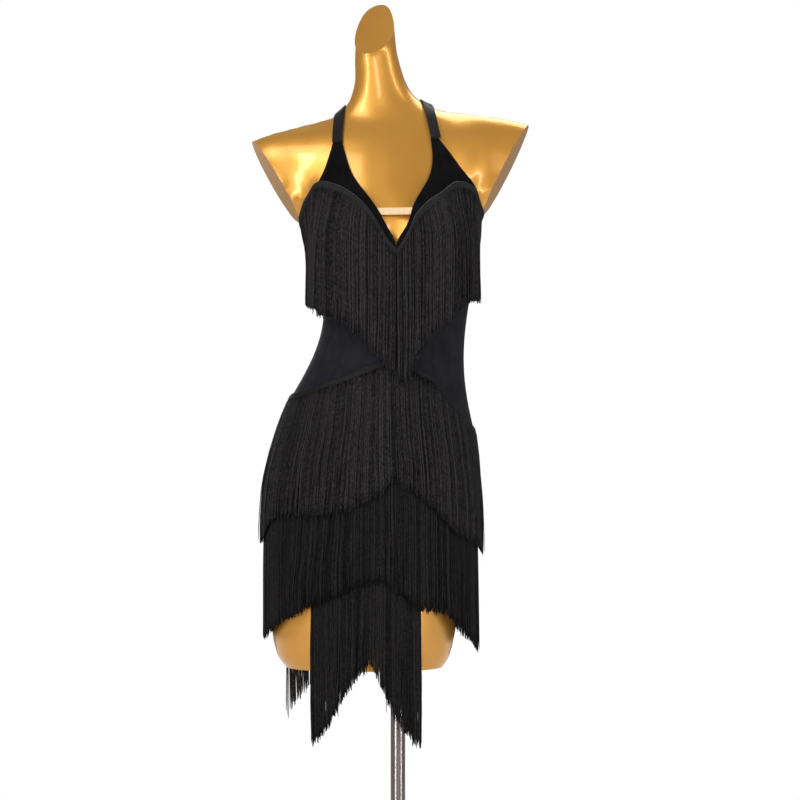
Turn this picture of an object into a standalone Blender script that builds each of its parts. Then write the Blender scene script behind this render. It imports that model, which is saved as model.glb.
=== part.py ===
"""Latin dance dress in tiers of fringe, standing on a limbless display form.

The form is a loft through body sections.  Every cloth piece is a thin wall
whose points are read from the form's surface and moved out along its normal,
and every fringe is a wall that hangs straight down from its tape.
Metres, +Z up, front of the dress towards -Y, origin under the pole on the floor.
"""
import math

import bmesh
import bpy
import mathutils.bvhtree
from mathutils import Vector

# ---------------------------------------------------------------- driving sizes
COLLECTION = "latin_dance_dress"

CLOTH_THICKNESS = 0.0015
CLOTH_CLEARANCE = 0.0026        # from the form to the inner face of the cloth
TAPE_THICKNESS = 0.0015
TAPE_CLEARANCE = 0.0054         # from the form to the inner face of a tape
FRINGE_THICKNESS = 0.0025
SEAM_GAP = 0.0004               # left open between two pieces along a seam

POLE_RADIUS = 0.0105
BASE_RADIUS = 0.180
BASE_THICKNESS = 0.006
BASE_COLLAR_RADIUS = 0.022
BASE_COLLAR_HEIGHT = 0.030
FORM_BOTTOM = 0.668

AXIS_X = -0.022                 # upright line about which turns are measured
COLUMN_STEP = 9.0               # degrees between the upright lines of all panels
SHOULDER_TILT = 0.058           # rise of the shoulders per metre to the right
TILT_FROM = 1.15
TILT_TO = 1.40

# ---------------------------------------------------------------- the form
# height, centre x, half width, front depth, back depth, chest half width,
# depth at the arm ends
SECTION_COLUMNS = ("height", "centre", "half", "front", "back", "chest", "arm")
SECTIONS = (
    (0.668, -0.0485, 0.1150, 0.087, 0.080, 0.1150, 0.000),
    (0.684, -0.0495, 0.1250, 0.093, 0.087, 0.1250, 0.000),
    (0.706, -0.0500, 0.1310, 0.098, 0.093, 0.1310, 0.000),
    (0.760, -0.0475, 0.1380, 0.103, 0.104, 0.1380, 0.000),
    (0.830, -0.0420, 0.1455, 0.104, 0.116, 0.1455, 0.000),
    (0.900, -0.0375, 0.1495, 0.101, 0.121, 0.1495, 0.000),
    (0.940, -0.0365, 0.1490, 0.098, 0.118, 0.1490, 0.000),
    (1.006, -0.0325, 0.1395, 0.092, 0.103, 0.1395, 0.000),
    (1.040, -0.0310, 0.1285, 0.088, 0.093, 0.1285, 0.000),
    (1.068, -0.0260, 0.1195, 0.086, 0.085, 0.1195, 0.000),
    (1.100, -0.0174, 0.1080, 0.084, 0.079, 0.1080, 0.000),
    (1.127, -0.0116, 0.1010, 0.082, 0.076, 0.1010, 0.000),
    (1.160, -0.0050, 0.0985, 0.081, 0.076, 0.0985, 0.000),
    (1.185, -0.0015, 0.0993, 0.082, 0.079, 0.0993, 0.000),
    (1.210, -0.0010, 0.1025, 0.085, 0.083, 0.1025, 0.000),
    (1.240, -0.0030, 0.1060, 0.090, 0.088, 0.1060, 0.010),
    (1.270, -0.0050, 0.1110, 0.094, 0.092, 0.1110, 0.018),
    (1.298, -0.0080, 0.1205, 0.095, 0.094, 0.1180, 0.026),
    (1.316, -0.0095, 0.1285, 0.093, 0.095, 0.1240, 0.034),
    (1.332, -0.0100, 0.1600, 0.089, 0.096, 0.1290, 0.041),
    (1.352, -0.0105, 0.2050, 0.083, 0.095, 0.1330, 0.046),
    (1.380, -0.0110, 0.2400, 0.073, 0.092, 0.1340, 0.048),
    (1.405, -0.0110, 0.2400, 0.063, 0.086, 0.1330, 0.046),
    (1.428, -0.0110, 0.2240, 0.052, 0.077, 0.1300, 0.040),
    (1.4430, -0.0110, 0.1990, 0.044, 0.068, 0.1220, 0.032),
    (1.4530, -0.0100, 0.1620, 0.039, 0.062, 0.1080, 0.025),
    (1.4605, -0.0090, 0.1250, 0.036, 0.058, 0.0940, 0.016),
    (1.4690, -0.0150, 0.0780, 0.033, 0.055, 0.0740, 0.006),
    (1.4860, -0.0225, 0.0515, 0.030, 0.050, 0.0515, 0.000),
    (1.5040, -0.0255, 0.0405, 0.028, 0.046, 0.0405, 0.000),
    (1.5300, -0.0285, 0.0340, 0.026, 0.042, 0.0340, 0.000),
    (1.5620, -0.0330, 0.0310, 0.024, 0.039, 0.0310, 0.000),
    (1.6000, -0.0330, 0.0275, 0.022, 0.036, 0.0275, 0.000),
    (1.6600, -0.0310, 0.0250, 0.021, 0.034, 0.0250, 0.000),
)
ROUNDNESS = 2.15                # 2 is an ellipse, more is squarer
BLEND = 5.0                     # how tightly chest and arm depths join

# turn and height of each cup's fullest point, its reach and how far it stands out
CUP_COLUMNS = ("turn", "height", "reach_turn", "reach_height", "rise")
CUPS = (
    (-33.0, 1.268, 27.0, 0.056, 0.027),
    (41.0, 1.272, 27.0, 0.056, 0.027),
)

# planes that end the form: a point on the plane, its outward normal, and the height
# above which it cuts
NECK_CUT = ((-0.033, 0.012, 1.604), (-0.21, -0.77, 0.60), 1.5200)
LEFT_ARM_CUT = ((-0.2130, 0.000, 1.4320), (-0.850, -0.200, -0.480), 1.3160)
RIGHT_ARM_CUT = ((0.1900, 0.000, 1.4535), (0.880, -0.170, -0.440), 1.3160)

FORM_RINGS = (
    0.6680, 0.6720, 0.6840, 0.7060, 0.7400, 0.7800, 0.8250, 0.8650, 0.9050, 0.9400, 0.9750,
    1.0060, 1.0350, 1.0650, 1.0950, 1.1250, 1.1550, 1.1850, 1.2150, 1.2350, 1.2550, 1.2750,
    1.2950, 1.3160, 1.3340, 1.3560, 1.3820, 1.4060, 1.4260, 1.4400, 1.4500, 1.4590, 1.4680,
    1.4800, 1.4960, 1.5200, 1.5550, 1.5950, 1.6600,
)
FORM_COLUMNS = 40
BOTTOM_ROUNDING = 0.005
CUT_TOLERANCE = 0.001
STRETCH_LIMIT = 1.6
BRIDGE_FROM, BRIDGE_TO, BRIDGE_EASE = 1.20, 1.385, 0.03
BRIDGE_TURN, BRIDGE_HEIGHT = 5.0, 0.007
BRIDGE_FLARE, BRIDGE_SIDE, BRIDGE_SIDE_EASE = 1.315, 66.0, 10.0


def slopes(xs, ys):
    """Return gentle slopes that keep a curve through the points from overshooting."""
    steps = [(ys[i + 1] - ys[i]) / (xs[i + 1] - xs[i]) for i in range(len(xs) - 1)]
    inner = [0.0 if a * b <= 0 else 2 * a * b / (a + b) for a, b in zip(steps, steps[1:])]
    return [steps[0]] + inner + [steps[-1]]


class Curve:
    """A smooth curve of one value through a short table of points."""

    def __init__(self, xs, ys):
        self.xs = list(xs)
        self.ys = list(ys)
        self.ms = slopes(self.xs, self.ys)

    def __call__(self, x):
        xs = self.xs
        if x <= xs[0]:
            return self.ys[0]
        if x >= xs[-1]:
            return self.ys[-1]
        i = max(k for k in range(len(xs) - 1) if xs[k] <= x)
        h = xs[i + 1] - xs[i]
        t = (x - xs[i]) / h
        a = (1 + 2 * t) * (1 - t) ** 2 * self.ys[i] + t * (1 - t) ** 2 * h * self.ms[i]
        b = t * t * (3 - 2 * t) * self.ys[i + 1] + t * t * (t - 1) * h * self.ms[i + 1]
        return a + b


SECTION = {
    name: Curve([row[0] for row in SECTIONS], [row[k] for row in SECTIONS])
    for k, name in enumerate(SECTION_COLUMNS)
}


def smooth_step(x):
    """Return 0 below 0, 1 above 1 and a soft step between."""
    x = min(max(x, 0.0), 1.0)
    return x * x * (3 - 2 * x)


def tilt_at(level):
    """Return the sideways rise of a section that was level at this height."""
    return SHOULDER_TILT * smooth_step((level - TILT_FROM) / (TILT_TO - TILT_FROM))


def untilted(x, z):
    """Return the height that a point had before the shoulders were tilted."""
    level = z
    for _ in range(4):
        level = z - tilt_at(level) * (x - SECTION["centre"](level))
    return level


def round_end(u):
    """Return the relative depth of a round section at a relative width u."""
    u = abs(u)
    return 0.0 if u >= 1 else (1 - u ** ROUNDNESS) ** (1 / ROUNDNESS)


def section_depth(level, dx, side):
    """Return the depth of a section, front or back, at a distance dx from its centre."""
    body = SECTION[side](level) * round_end(dx / SECTION["chest"](level))
    arm = SECTION["arm"](level) * round_end(dx / SECTION["half"](level))
    return (body ** BLEND + arm ** BLEND) ** (1 / BLEND)


def cup_rise(turn, z):
    """Return how far the cups stand out of the plain body at a turn and height."""
    rise = 0.0
    for cup in CUPS:
        cup = dict(zip(CUP_COLUMNS, cup))
        across = (turn - cup["turn"]) / cup["reach_turn"]
        up = (z - cup["height"]) / cup["reach_height"]
        if up < 0:
            up *= 1.25
        distance = math.sqrt(across * across + up * up)
        if distance < 1.6:
            rise += cup["rise"] * math.cos(distance / 1.6 * math.pi / 2) ** 2
    return rise


def place(turn, radius, z):
    """Return the point at a turn, radius and height about the upright axis."""
    angle = math.radians(turn)
    return Vector((AXIS_X + radius * math.sin(angle), -radius * math.cos(angle), z))


def form_ring(bm, level, inset):
    """Add one ring of the form, at the height it had before the shoulders were tilted."""
    centre, half = SECTION["centre"](level), SECTION["half"](level)
    scale = 1 - inset / half
    ring = []
    for k in range(FORM_COLUMNS):
        angle = 2 * math.pi * k / FORM_COLUMNS
        dx = half * math.sin(angle)
        side = "front" if math.cos(angle) > 0 else "back"
        depth = section_depth(level, dx, side) * scale
        x, y, z = centre + dx * scale, -depth if side == "front" else depth, level + tilt_at(level) * dx
        turn = math.degrees(math.atan2(x - AXIS_X, -y))
        outward = place(turn, 1.0, z) - place(turn, 0.0, z)
        ring.append(bm.verts.new(Vector((x, y, z)) + outward * cup_rise(turn, z)))
    return ring


def plain_form():
    """Return the form's closed loft, before its neck and arms are cut."""
    bm = bmesh.new()
    rings = [form_ring(bm, z, BOTTOM_ROUNDING if z == FORM_BOTTOM else 0.0) for z in FORM_RINGS]
    for below, above in zip(rings, rings[1:]):
        for k in range(FORM_COLUMNS):
            after = (k + 1) % FORM_COLUMNS
            bm.faces.new((below[k], below[after], above[after], above[k]))
    bm.faces.new(rings[0])
    bm.faces.new(rings[-1])
    bmesh.ops.recalc_face_normals(bm, faces=bm.faces)
    return bm


def form_tree():
    """Return the form's loft as a tree that lines can be cast at."""
    bm = plain_form()
    tree = mathutils.bvhtree.BVHTree.FromBMesh(bm)
    bm.free()
    return tree


FORM = form_tree()


def form_radius(turn, z):
    """Return the form's radius about the upright axis at a turn in degrees."""
    centre = place(turn, 0.0, max(z, FORM_BOTTOM + 0.001))
    hit = FORM.ray_cast(centre, place(turn, 1.0, centre.z) - centre)
    return (hit[0] - centre).length


RADII = {}


def body_radius(turn, z):
    """Return the radius that cloth spans: it bridges the hollows of the chest."""
    key = (round(turn, 3), round(z, 5))
    if key not in RADII:
        radius = form_radius(turn, z)
        bridging = smooth_step((z - BRIDGE_FROM) / BRIDGE_EASE) * smooth_step((BRIDGE_TO - z) / BRIDGE_EASE)
        flare = smooth_step((z - BRIDGE_FLARE) / BRIDGE_EASE)
        bridging *= 1 - flare * smooth_step((abs(turn) - BRIDGE_SIDE) / BRIDGE_SIDE_EASE)
        if bridging > 0:
            near = [
                form_radius(turn + BRIDGE_TURN * i, z + BRIDGE_HEIGHT * j)
                for i in (-1, -0.5, 0.5, 1) for j in (-1, 0, 1)
            ]
            radius += bridging * max(max(near) - radius, 0.0)
        RADII[key] = radius
    return RADII[key]


def stretch(turn, z):
    """Return how much longer a gap is along the radius than square to the surface."""
    step_turn, step_z = 4.0, 0.009
    radius = body_radius(turn, z)
    lean = (body_radius(turn, z + step_z) - body_radius(turn, z - step_z)) / (2 * step_z)
    sweep = body_radius(turn + step_turn, z) - body_radius(turn - step_turn, z)
    sweep /= 2 * math.radians(step_turn) * radius
    return min(math.sqrt(1 + lean * lean + sweep * sweep), STRETCH_LIMIT)


def moved_out(turn, z, distance):
    """Return the point that lies a distance outside the form's surface."""
    return place(turn, body_radius(turn, z) + distance * stretch(turn, z), z)


# ---------------------------------------------------------------- seam lines
class Line:
    """A height that changes smoothly with the turn, from a short table of (turn, height)."""

    def __init__(self, *rows):
        self.curve = Curve([turn for turn, _ in rows], [height for _, height in rows])

    def __call__(self, turn):
        return self.curve(turn)


# Turns are degrees from centre front, positive to the wearer's left.  The back runs
# from 90 to 270, so 270 is the same seam as -90.
FRONT_CENTRE_TURN = 10.0
WAIST_SEAM = 1.200
SKIRT_HEM = 0.768
BACK_TOP = Line((90, 1.2960), (115, 1.2880), (180, 1.2700), (245, 1.2860), (270, 1.2940))

# Edges of the two front pieces: height, armhole turn and neckline turn.
LEFT_FRONT = (
    (1.2004, -90.0, 10.0),
    (1.2400, -90.0, 10.0),
    (1.2700, -90.0, 10.0),
    (1.2815, -89.0, 9.0),
    (1.2950, -83.0, 5.3),
    (1.3050, -76.0, 2.3),
    (1.3200, -69.0, -2.2),
    (1.3335, -64.4, -7.2),
    (1.3446, -60.8, -12.5),
    (1.3557, -57.2, -18.5),
    (1.3739, -54.2, -29.2),
    (1.3927, -54.0, -36.8),
    (1.4236, -55.0, -47.2),
)
RIGHT_FRONT = (
    (1.2004, 90.0, 10.0),
    (1.2400, 90.0, 10.0),
    (1.2700, 90.0, 10.0),
    (1.2815, 89.4, 11.0),
    (1.2950, 86.5, 15.8),
    (1.3082, 80.5, 19.0),
    (1.3271, 72.6, 22.2),
    (1.3390, 69.0, 26.2),
    (1.3507, 66.6, 31.0),
    (1.3684, 64.4, 39.0),
    (1.3812, 62.7, 44.0),
    (1.4036, 59.4, 48.4),
    (1.4290, 55.8, 51.6),
)
NUDE_BAR_FROM = 1.3160
NUDE_BAR_TO = 1.3260

BUST_LINE_LEFT = Line(
    (-90, 1.2720), (-84, 1.2790), (-77, 1.2920), (-72, 1.3050), (-67, 1.3190), (-62.5, 1.3330),
    (-58.5, 1.3480), (-55.0, 1.3610), (-51.5, 1.3665), (-42.2, 1.3627), (-27, 1.3502), (-14.5, 1.3325),
    (-7.8, 1.3180), (-1.7, 1.2996), (5.8, 1.2769), (10.0, 1.2670),
)
BUST_LINE_RIGHT = Line(
    (10.0, 1.2660), (12.5, 1.2735), (16.1, 1.2849), (19.5, 1.3039), (23.1, 1.3177), (31.8, 1.3352),
    (43.4, 1.3504), (49.8, 1.3609), (55.9, 1.3660), (59.5, 1.3640), (62.5, 1.3555),
    (66.0, 1.3420), (70.5, 1.3270), (75.5, 1.3130), (80.5, 1.2990), (85.0, 1.2870), (90.0, 1.2780),
)
BUST_HEM_LEFT = Line(
    (-90, 1.1900), (-68, 1.1885), (-49.5, 1.1850), (-46.8, 1.1780), (-30, 1.1660), (-18.6, 1.1515),
    (-10.6, 1.1370), (-8.2, 1.1230), (-3.0, 1.1150), (10.0, 1.0840),
)
BUST_HEM_RIGHT = Line(
    (10.0, 1.0870), (13.7, 1.0785), (20.2, 1.1005), (27.7, 1.1373), (32.9, 1.1515), (41, 1.1660),
    (48.7, 1.1860), (57, 1.1950), (66, 1.1970), (90, 1.2010),
)
HIP_LINE = Line(
    (-90, 1.0600), (-66, 1.0698), (-47, 1.0811), (-34, 1.0881), (-13, 1.1022), (14, 1.1160),
    (34, 1.0966), (44, 1.0885), (50, 1.0800), (54, 1.0660), (73, 1.0280), (90, 1.0130),
    (115, 1.0200), (150, 1.0560), (180, 1.0850), (215, 1.0700), (250, 1.0560), (270, 1.0600),
)
HIP_HEM = Line(
    (-90, 0.8510), (-80.7, 0.8524), (-73.4, 0.8764), (-66.8, 0.8871), (-36.4, 0.8902),
    (-20.6, 0.9003), (-3.1, 0.9186), (10.3, 0.9397), (15, 0.9311), (22.4, 0.9240), (36.2, 0.9025),
    (43.4, 0.8881), (51.7, 0.8663), (77, 0.8450), (90, 0.8330),
    (115, 0.8450), (150, 0.8800), (180, 0.9050), (215, 0.8900), (250, 0.8620), (270, 0.8510),
)
THIGH_LINE = Line(
    (-90, 0.9050), (-76.7, 0.9147), (-52, 0.9420), (-29, 0.9650), (-10, 0.9790), (0.6, 0.9833),
    (9.6, 0.9734), (22.9, 0.9549), (42, 0.9404), (55, 0.9144), (65, 0.8995), (80, 0.8810),
    (90, 0.8750), (115, 0.8850), (150, 0.9200), (180, 0.9500), (215, 0.9350), (250, 0.9100),
    (270, 0.9050),
)
THIGH_HEM = Line(
    (-90, 0.7120), (-80, 0.7160), (-74, 0.7240), (-67, 0.7357), (-54, 0.7505), (-43, 0.7630),
    (-26, 0.7818), (-9, 0.7962), (0.5, 0.7989), (8.6, 0.7861), (14.4, 0.7789), (21.7, 0.7672),
    (27, 0.7580), (42, 0.7545), (50.6, 0.7422), (64, 0.7261), (75, 0.7110), (90, 0.6930),
    (115, 0.7050), (150, 0.7450), (180, 0.7750), (215, 0.7600), (250, 0.7250), (270, 0.7120),
)
POINT_LEFT_TURN, POINT_RIGHT_TURN = -47.0, 30.5
POINT_LINE = Line(
    (-47, 0.7760), (-38, 0.7860), (-27, 0.8240), (-12.7, 0.8635), (-1, 0.8410), (15, 0.7930),
    (30.5, 0.7760),
)
POINT_HEM = Line(
    (-47, 0.5700), (-42.6, 0.5770), (-36.3, 0.5940), (-30.4, 0.6194), (-25.5, 0.6380),
    (-20, 0.6520), (-12, 0.6800), (-5.8, 0.6710), (-1, 0.6520), (5, 0.6290), (7.6, 0.6124),
    (14, 0.5940), (21, 0.5770), (25, 0.5690), (30.5, 0.5640),
)
BACK_POINT_FROM_TURN, BACK_POINT_TO_TURN = 159.0, 243.0
BACK_POINT_LINE = Line((159, 0.7760), (172, 0.7950), (201, 0.8450), (228, 0.8000), (243, 0.7780))
BACK_POINT_HEM = Line(
    (159, 0.6000), (172, 0.6350), (201, 0.6950), (228, 0.6340), (236, 0.6120), (243, 0.5930))

TAPE_WIDTH = 0.009
STRAP_WIDTH = 0.0145
BUST_LOFT = 0.0016              # extra room between the cups and their tape
SIDE_LOFT = 0.0022              # more of it where the tape crosses the armholes
SIDE_LOFT_FROM, SIDE_LOFT_EASE = 46.0, 12.0
LAYER_STEP = 0.0050             # a fringe moves out this much to clear the tier below it
LAYER_FROM = 0.045              # height above the lower tape where it starts to
LAYER_EASE = 0.030              # height over which it does so
POINT_EASE_TURN = 9.0
HANG_STEP = 0.012               # height between the points where a hanging strand is checked
SETTLE_LEFT, SETTLE_RIGHT = 0.0095, 0.0035  # strands from the armholes settle inwards
SETTLE_FROM, SETTLE_EASE = 58.0, 20.0
SETTLE_DROP = 0.050


# ---------------------------------------------------------------- scene and materials
def clear_scene():
    """Remove every object and loose mesh of the starting scene."""
    for item in list(bpy.data.objects):
        bpy.data.objects.remove(item, do_unlink=True)
    for mesh in list(bpy.data.meshes):
        bpy.data.meshes.remove(mesh)


def make_material(name, colour, roughness, metallic=0.0):
    """Return a Principled material."""
    material = bpy.data.materials.new(name)
    material.use_nodes = True
    shader = material.node_tree.nodes["Principled BSDF"]
    shader.inputs["Base Color"].default_value = (*colour, 1.0)
    shader.inputs["Roughness"].default_value = roughness
    shader.inputs["Metallic"].default_value = metallic
    material.diffuse_color = (*colour, 1.0)
    return material


def add_object(name, bm, collection, material):
    """Turn a bmesh into a named object with faces pointing out."""
    bmesh.ops.recalc_face_normals(bm, faces=bm.faces)
    mesh = bpy.data.meshes.new(name)
    bm.to_mesh(mesh)
    bm.free()
    mesh.shade_smooth()
    mesh.set_sharp_from_angle(angle=math.radians(35))
    mesh.materials.append(material)
    item = bpy.data.objects.new(name, mesh)
    collection.objects.link(item)
    return item


# ---------------------------------------------------------------- walls of cloth
def wall(inner, outer):
    """Return a closed thin wall between two grids of points, rows by columns."""
    bm = bmesh.new()
    grids = [[[bm.verts.new(point) for point in row] for row in grid] for grid in (inner, outer)]
    rows, columns = len(inner), len(inner[0])
    for grid in grids:
        for i in range(rows - 1):
            for j in range(columns - 1):
                bm.faces.new((grid[i][j], grid[i][j + 1], grid[i + 1][j + 1], grid[i + 1][j]))
    rim = [(0, j) for j in range(columns)]
    rim += [(i, columns - 1) for i in range(1, rows)]
    rim += [(rows - 1, j) for j in range(columns - 2, -1, -1)]
    rim += [(i, 0) for i in range(rows - 2, 0, -1)]
    for here, after in zip(rim, rim[1:] + rim[:1]):
        corners = (grids[0][here[0]][here[1]], grids[0][after[0]][after[1]],
                   grids[1][after[0]][after[1]], grids[1][here[0]][here[1]])
        bm.faces.new(corners)
    return bm


def seam_turn(turn):
    """Return the turn that half a seam gap takes at the hip's radius."""
    return math.degrees(SEAM_GAP / 2 / max(body_radius(turn, 1.20), 0.08))


def columns_between(start, end, step=COLUMN_STEP):
    """Return the upright lines of a panel: both ends and every shared line between."""
    start += seam_turn(start)
    end -= seam_turn(end)
    first = math.floor(start / step) + 1
    last = math.ceil(end / step) - 1
    shared = [k * step for k in range(first, last + 1)]
    margin = 1.2
    shared = [turn for turn in shared if start + margin < turn < end - margin]
    return [start] + shared + [end]


def no_rise(turn, z):
    """Return no rise: the piece lies on the one below it."""
    return 0.0


def fitted_panel(turns, bottom, top, rows, clearance, thickness, rise=no_rise):
    """Return a panel that lies on the form between two lines of height."""
    grids = []
    for distance in (clearance, clearance + thickness):
        grid = []
        for i in range(rows + 1):
            share = i / rows
            line = [(turn, bottom(turn) + (top(turn) - bottom(turn)) * share) for turn in turns]
            grid.append([moved_out(turn, z, distance + rise(turn, z)) for turn, z in line])
        grids.append(grid)
    return wall(*grids)


def no_settling(turn, drop):
    """Return no settling: strands hang straight down."""
    return 0.0


def side_settling(turn, drop):
    """Return how far strands from the armholes have settled inwards after a drop."""
    across = turn - FRONT_CENTRE_TURN
    reach = SETTLE_LEFT if across < 0 else SETTLE_RIGHT
    return reach * smooth_step((abs(across) - SETTLE_FROM) / SETTLE_EASE) * smooth_step(drop / SETTLE_DROP)


def hanging_radius(turn, top, z, extra, settling):
    """Return the radius at which strands from a tape hang: the widest point passed on the way."""
    widest = 0.0
    reach = 0.0
    steps = max(1, math.ceil((top - z) / HANG_STEP))
    for i in range(steps + 1):
        level = top + (z - top) * i / steps
        gap = (TAPE_CLEARANCE + extra(turn, level)) * stretch(turn, level)
        reach = body_radius(turn, level) + gap
        widest = max(widest, reach)
    return max(widest - settling(turn, top - z), reach)


def hanging_panel(turns, hem, line, rows, extra, crowding, settling):
    """Return the wall of a fringe's reach, from just under its tape down to its hem."""
    inner, outer = [], []
    for i in range(rows + 1):
        inner_row, outer_row = [], []
        for turn in turns:
            top = line(turn) - TAPE_WIDTH - SEAM_GAP
            z = hem(turn) + (top - hem(turn)) * math.sin(math.pi / 2 * i / rows) ** crowding
            radius = hanging_radius(turn, top, z, extra, settling)
            inner_row.append(place(turn, radius, z))
            outer_row.append(place(turn, radius + FRINGE_THICKNESS, z))
        inner.append(inner_row)
        outer.append(outer_row)
    return wall(inner, outer)


def tape_panel(turns, line, rise):
    """Return a folded tape that lies on the cloth along a line."""
    return fitted_panel(
        turns, lambda turn: line(turn) - TAPE_WIDTH, line, 1, TAPE_CLEARANCE, TAPE_THICKNESS, rise)


def over_the_bust(turn, z):
    """Return how far the bust fringe stands off, more where its tape crosses the armholes."""
    across = abs(turn - FRONT_CENTRE_TURN)
    return BUST_LOFT + SIDE_LOFT * smooth_step((across - SIDE_LOFT_FROM) / SIDE_LOFT_EASE)


def over_thigh_tape(turn, z):
    """Return how far the hip fringe moves out to pass over the thigh tier."""
    return LAYER_STEP * smooth_step((THIGH_LINE(turn) + LAYER_FROM - z) / LAYER_EASE)


def over_point_tapes(turn, z):
    """Return how far the thigh fringe moves out to pass over the two point tiers."""
    total = 0.0
    for start, end, line in (
        (POINT_LEFT_TURN, POINT_RIGHT_TURN, POINT_LINE),
        (BACK_POINT_FROM_TURN, BACK_POINT_TO_TURN, BACK_POINT_LINE),
    ):
        outside = max(start - turn, turn - end, 0.0)
        near = 1 - smooth_step((outside - COLUMN_STEP) / POINT_EASE_TURN)
        total = max(total, near * smooth_step((line(turn) + LAYER_FROM - z) / LAYER_EASE))
    return LAYER_STEP * total


def front_piece(table, seam_side):
    """Return one halter front: armhole on one edge, neckline on the other."""
    heights = [row[0] for row in table]
    armhole = Curve(heights, [row[1] for row in table])
    neckline = Curve(heights, [row[2] for row in table])
    columns = 13
    grids = []
    for distance in (CLOTH_CLEARANCE, CLOTH_CLEARANCE + CLOTH_THICKNESS):
        grid = []
        for z in heights:
            outer = armhole(z) - seam_side * seam_turn(90)
            inner = neckline(z) + seam_side * seam_turn(90)
            turns = [outer + (inner - outer) * j / columns for j in range(columns + 1)]
            grid.append([moved_out(turn, z, distance) for turn in turns])
        grids.append(grid)
    return wall(*grids)


def nude_bar():
    """Return the narrow bar that crosses the open neckline."""
    left = Curve([row[0] for row in LEFT_FRONT], [row[2] for row in LEFT_FRONT])
    right = Curve([row[0] for row in RIGHT_FRONT], [row[2] for row in RIGHT_FRONT])
    gap = 2 * seam_turn(90)
    grids = []
    for distance in (CLOTH_CLEARANCE, CLOTH_CLEARANCE + CLOTH_THICKNESS):
        grid = []
        for z in (NUDE_BAR_FROM, NUDE_BAR_TO):
            start, end = left(z) + gap, right(z) - gap
            turns = [start + (end - start) * j / 4 for j in range(5)]
            grid.append([moved_out(turn, z, distance) for turn in turns])
        grids.append(grid)
    return wall(*grids)


# ---------------------------------------------------------------- straps over the shoulders
# Middle line of each strap: swing over the shoulder from the front, and place across.
LEFT_STRAP = (
    (50.0, -0.0876), (75.0, -0.0855), (95.0, -0.0825), (130.0, -0.0810), (170.0, -0.0790), (215.0, -0.0760))
RIGHT_STRAP = (
    (50.0, 0.0562), (75.0, 0.0450), (95.0, 0.0370), (130.0, 0.0355), (170.0, 0.0350), (215.0, 0.0340))
STRAP_PIVOT_Y, STRAP_PIVOT_Z = 0.018, 1.335
STRAP_ROWS = 26
STRAP_SAMPLES = 90
STRAP_CLEARANCE = 0.0030
FRONT_END = (50, 20, 80)        # swing of a strap's front end: usual, lowest, highest
BACK_END = (215, 180, 230)
FRONT_SEAM = -0.0006            # heights from the edges that the two ends meet
BACK_SEAM = 0.0016


def shoulder_point(x, swing):
    """Return where a line swung from front over the top to the back leaves the form."""
    angle = math.radians(swing)
    start = Vector((x, STRAP_PIVOT_Y, STRAP_PIVOT_Z))
    direction = Vector((0.0, -math.cos(angle), math.sin(angle)))
    hit = FORM.ray_cast(start, direction)
    return hit[0]


def swing_at(x, low, high, height):
    """Return the swing at which the form's surface passes a height."""
    for _ in range(30):
        middle = (low + high) / 2
        if (shoulder_point(x, middle).z < height) == (shoulder_point(x, low).z < height):
            low = middle
        else:
            high = middle
    return (low + high) / 2


def taut(points):
    """Return the points of an arch that a tight band over it touches."""
    kept = []
    for point in points:
        while len(kept) > 1:
            before, last = kept[-2], kept[-1]
            turn = (last.y - before.y) * (point.z - last.z) - (last.z - before.z) * (point.y - last.y)
            if turn < 0:
                break
            kept.pop()
        kept.append(point)
    return kept


def spaced(points, count):
    """Return points at even distances along a path of straight pieces."""
    lengths = [0.0]
    for before, after in zip(points, points[1:]):
        lengths.append(lengths[-1] + (after - before).length)
    result = []
    for k in range(count + 1):
        distance = lengths[-1] * k / count
        i = max(j for j in range(len(points) - 1) if lengths[j] <= distance + 1e-9)
        share = (distance - lengths[i]) / (lengths[i + 1] - lengths[i])
        result.append(points[i].lerp(points[i + 1], min(share, 1.0)))
    return result


def strap(table, front_height, back_height):
    """Return a strap from the front piece's top over the shoulder to the back's edge."""
    run = Curve([row[0] for row in table], [row[1] for row in table])
    edges = []
    for dx in (-STRAP_WIDTH / 2, 0.0, STRAP_WIDTH / 2):
        usual, lowest, highest = FRONT_END
        start = swing_at(run(usual) + dx, lowest, highest, front_height + FRONT_SEAM)
        usual, lowest, highest = BACK_END
        end = swing_at(run(usual) + dx, lowest, highest, back_height + BACK_SEAM)
        swings = [start + (end - start) * k / STRAP_SAMPLES for k in range(STRAP_SAMPLES + 1)]
        path = taut([shoulder_point(run(swing) + dx, swing) for swing in swings])
        edges.append(spaced(path, STRAP_ROWS))
    grids = ([], [])
    for i in range(STRAP_ROWS + 1):
        low, high = max(i - 1, 0), min(i + 1, STRAP_ROWS)
        for grid, distance in zip(grids, (STRAP_CLEARANCE, STRAP_CLEARANCE + CLOTH_THICKNESS)):
            row = []
            for edge in edges:
                along = (edge[high] - edge[low]).normalized()
                row.append(edge[i] + Vector((1, 0, 0)).cross(along).normalized() * distance)
            grid.append(row)
    return wall(*grids)


# ---------------------------------------------------------------- the display form
def cut_flat(bm, point, normal, floor):
    """Cut the form above a height with a plane and close it with one flat face."""
    lowest = floor - CUT_TOLERANCE
    faces = [face for face in bm.faces if min(untilted(v.co.x, v.co.z) for v in face.verts) > lowest]
    edges = list({edge for face in faces for edge in face.edges})
    geometry = list({vert for face in faces for vert in face.verts}) + edges + faces
    cut = bmesh.ops.bisect_plane(
        bm, geom=geometry, dist=0.000001, plane_co=point,
        plane_no=Vector(normal).normalized(), clear_outer=True)
    edges = [item for item in cut["geom_cut"] if isinstance(item, bmesh.types.BMEdge)]
    bmesh.ops.edgeloop_fill(bm, edges=edges)
    bmesh.ops.remove_doubles(bm, verts=bm.verts, dist=0.0001)


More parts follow.
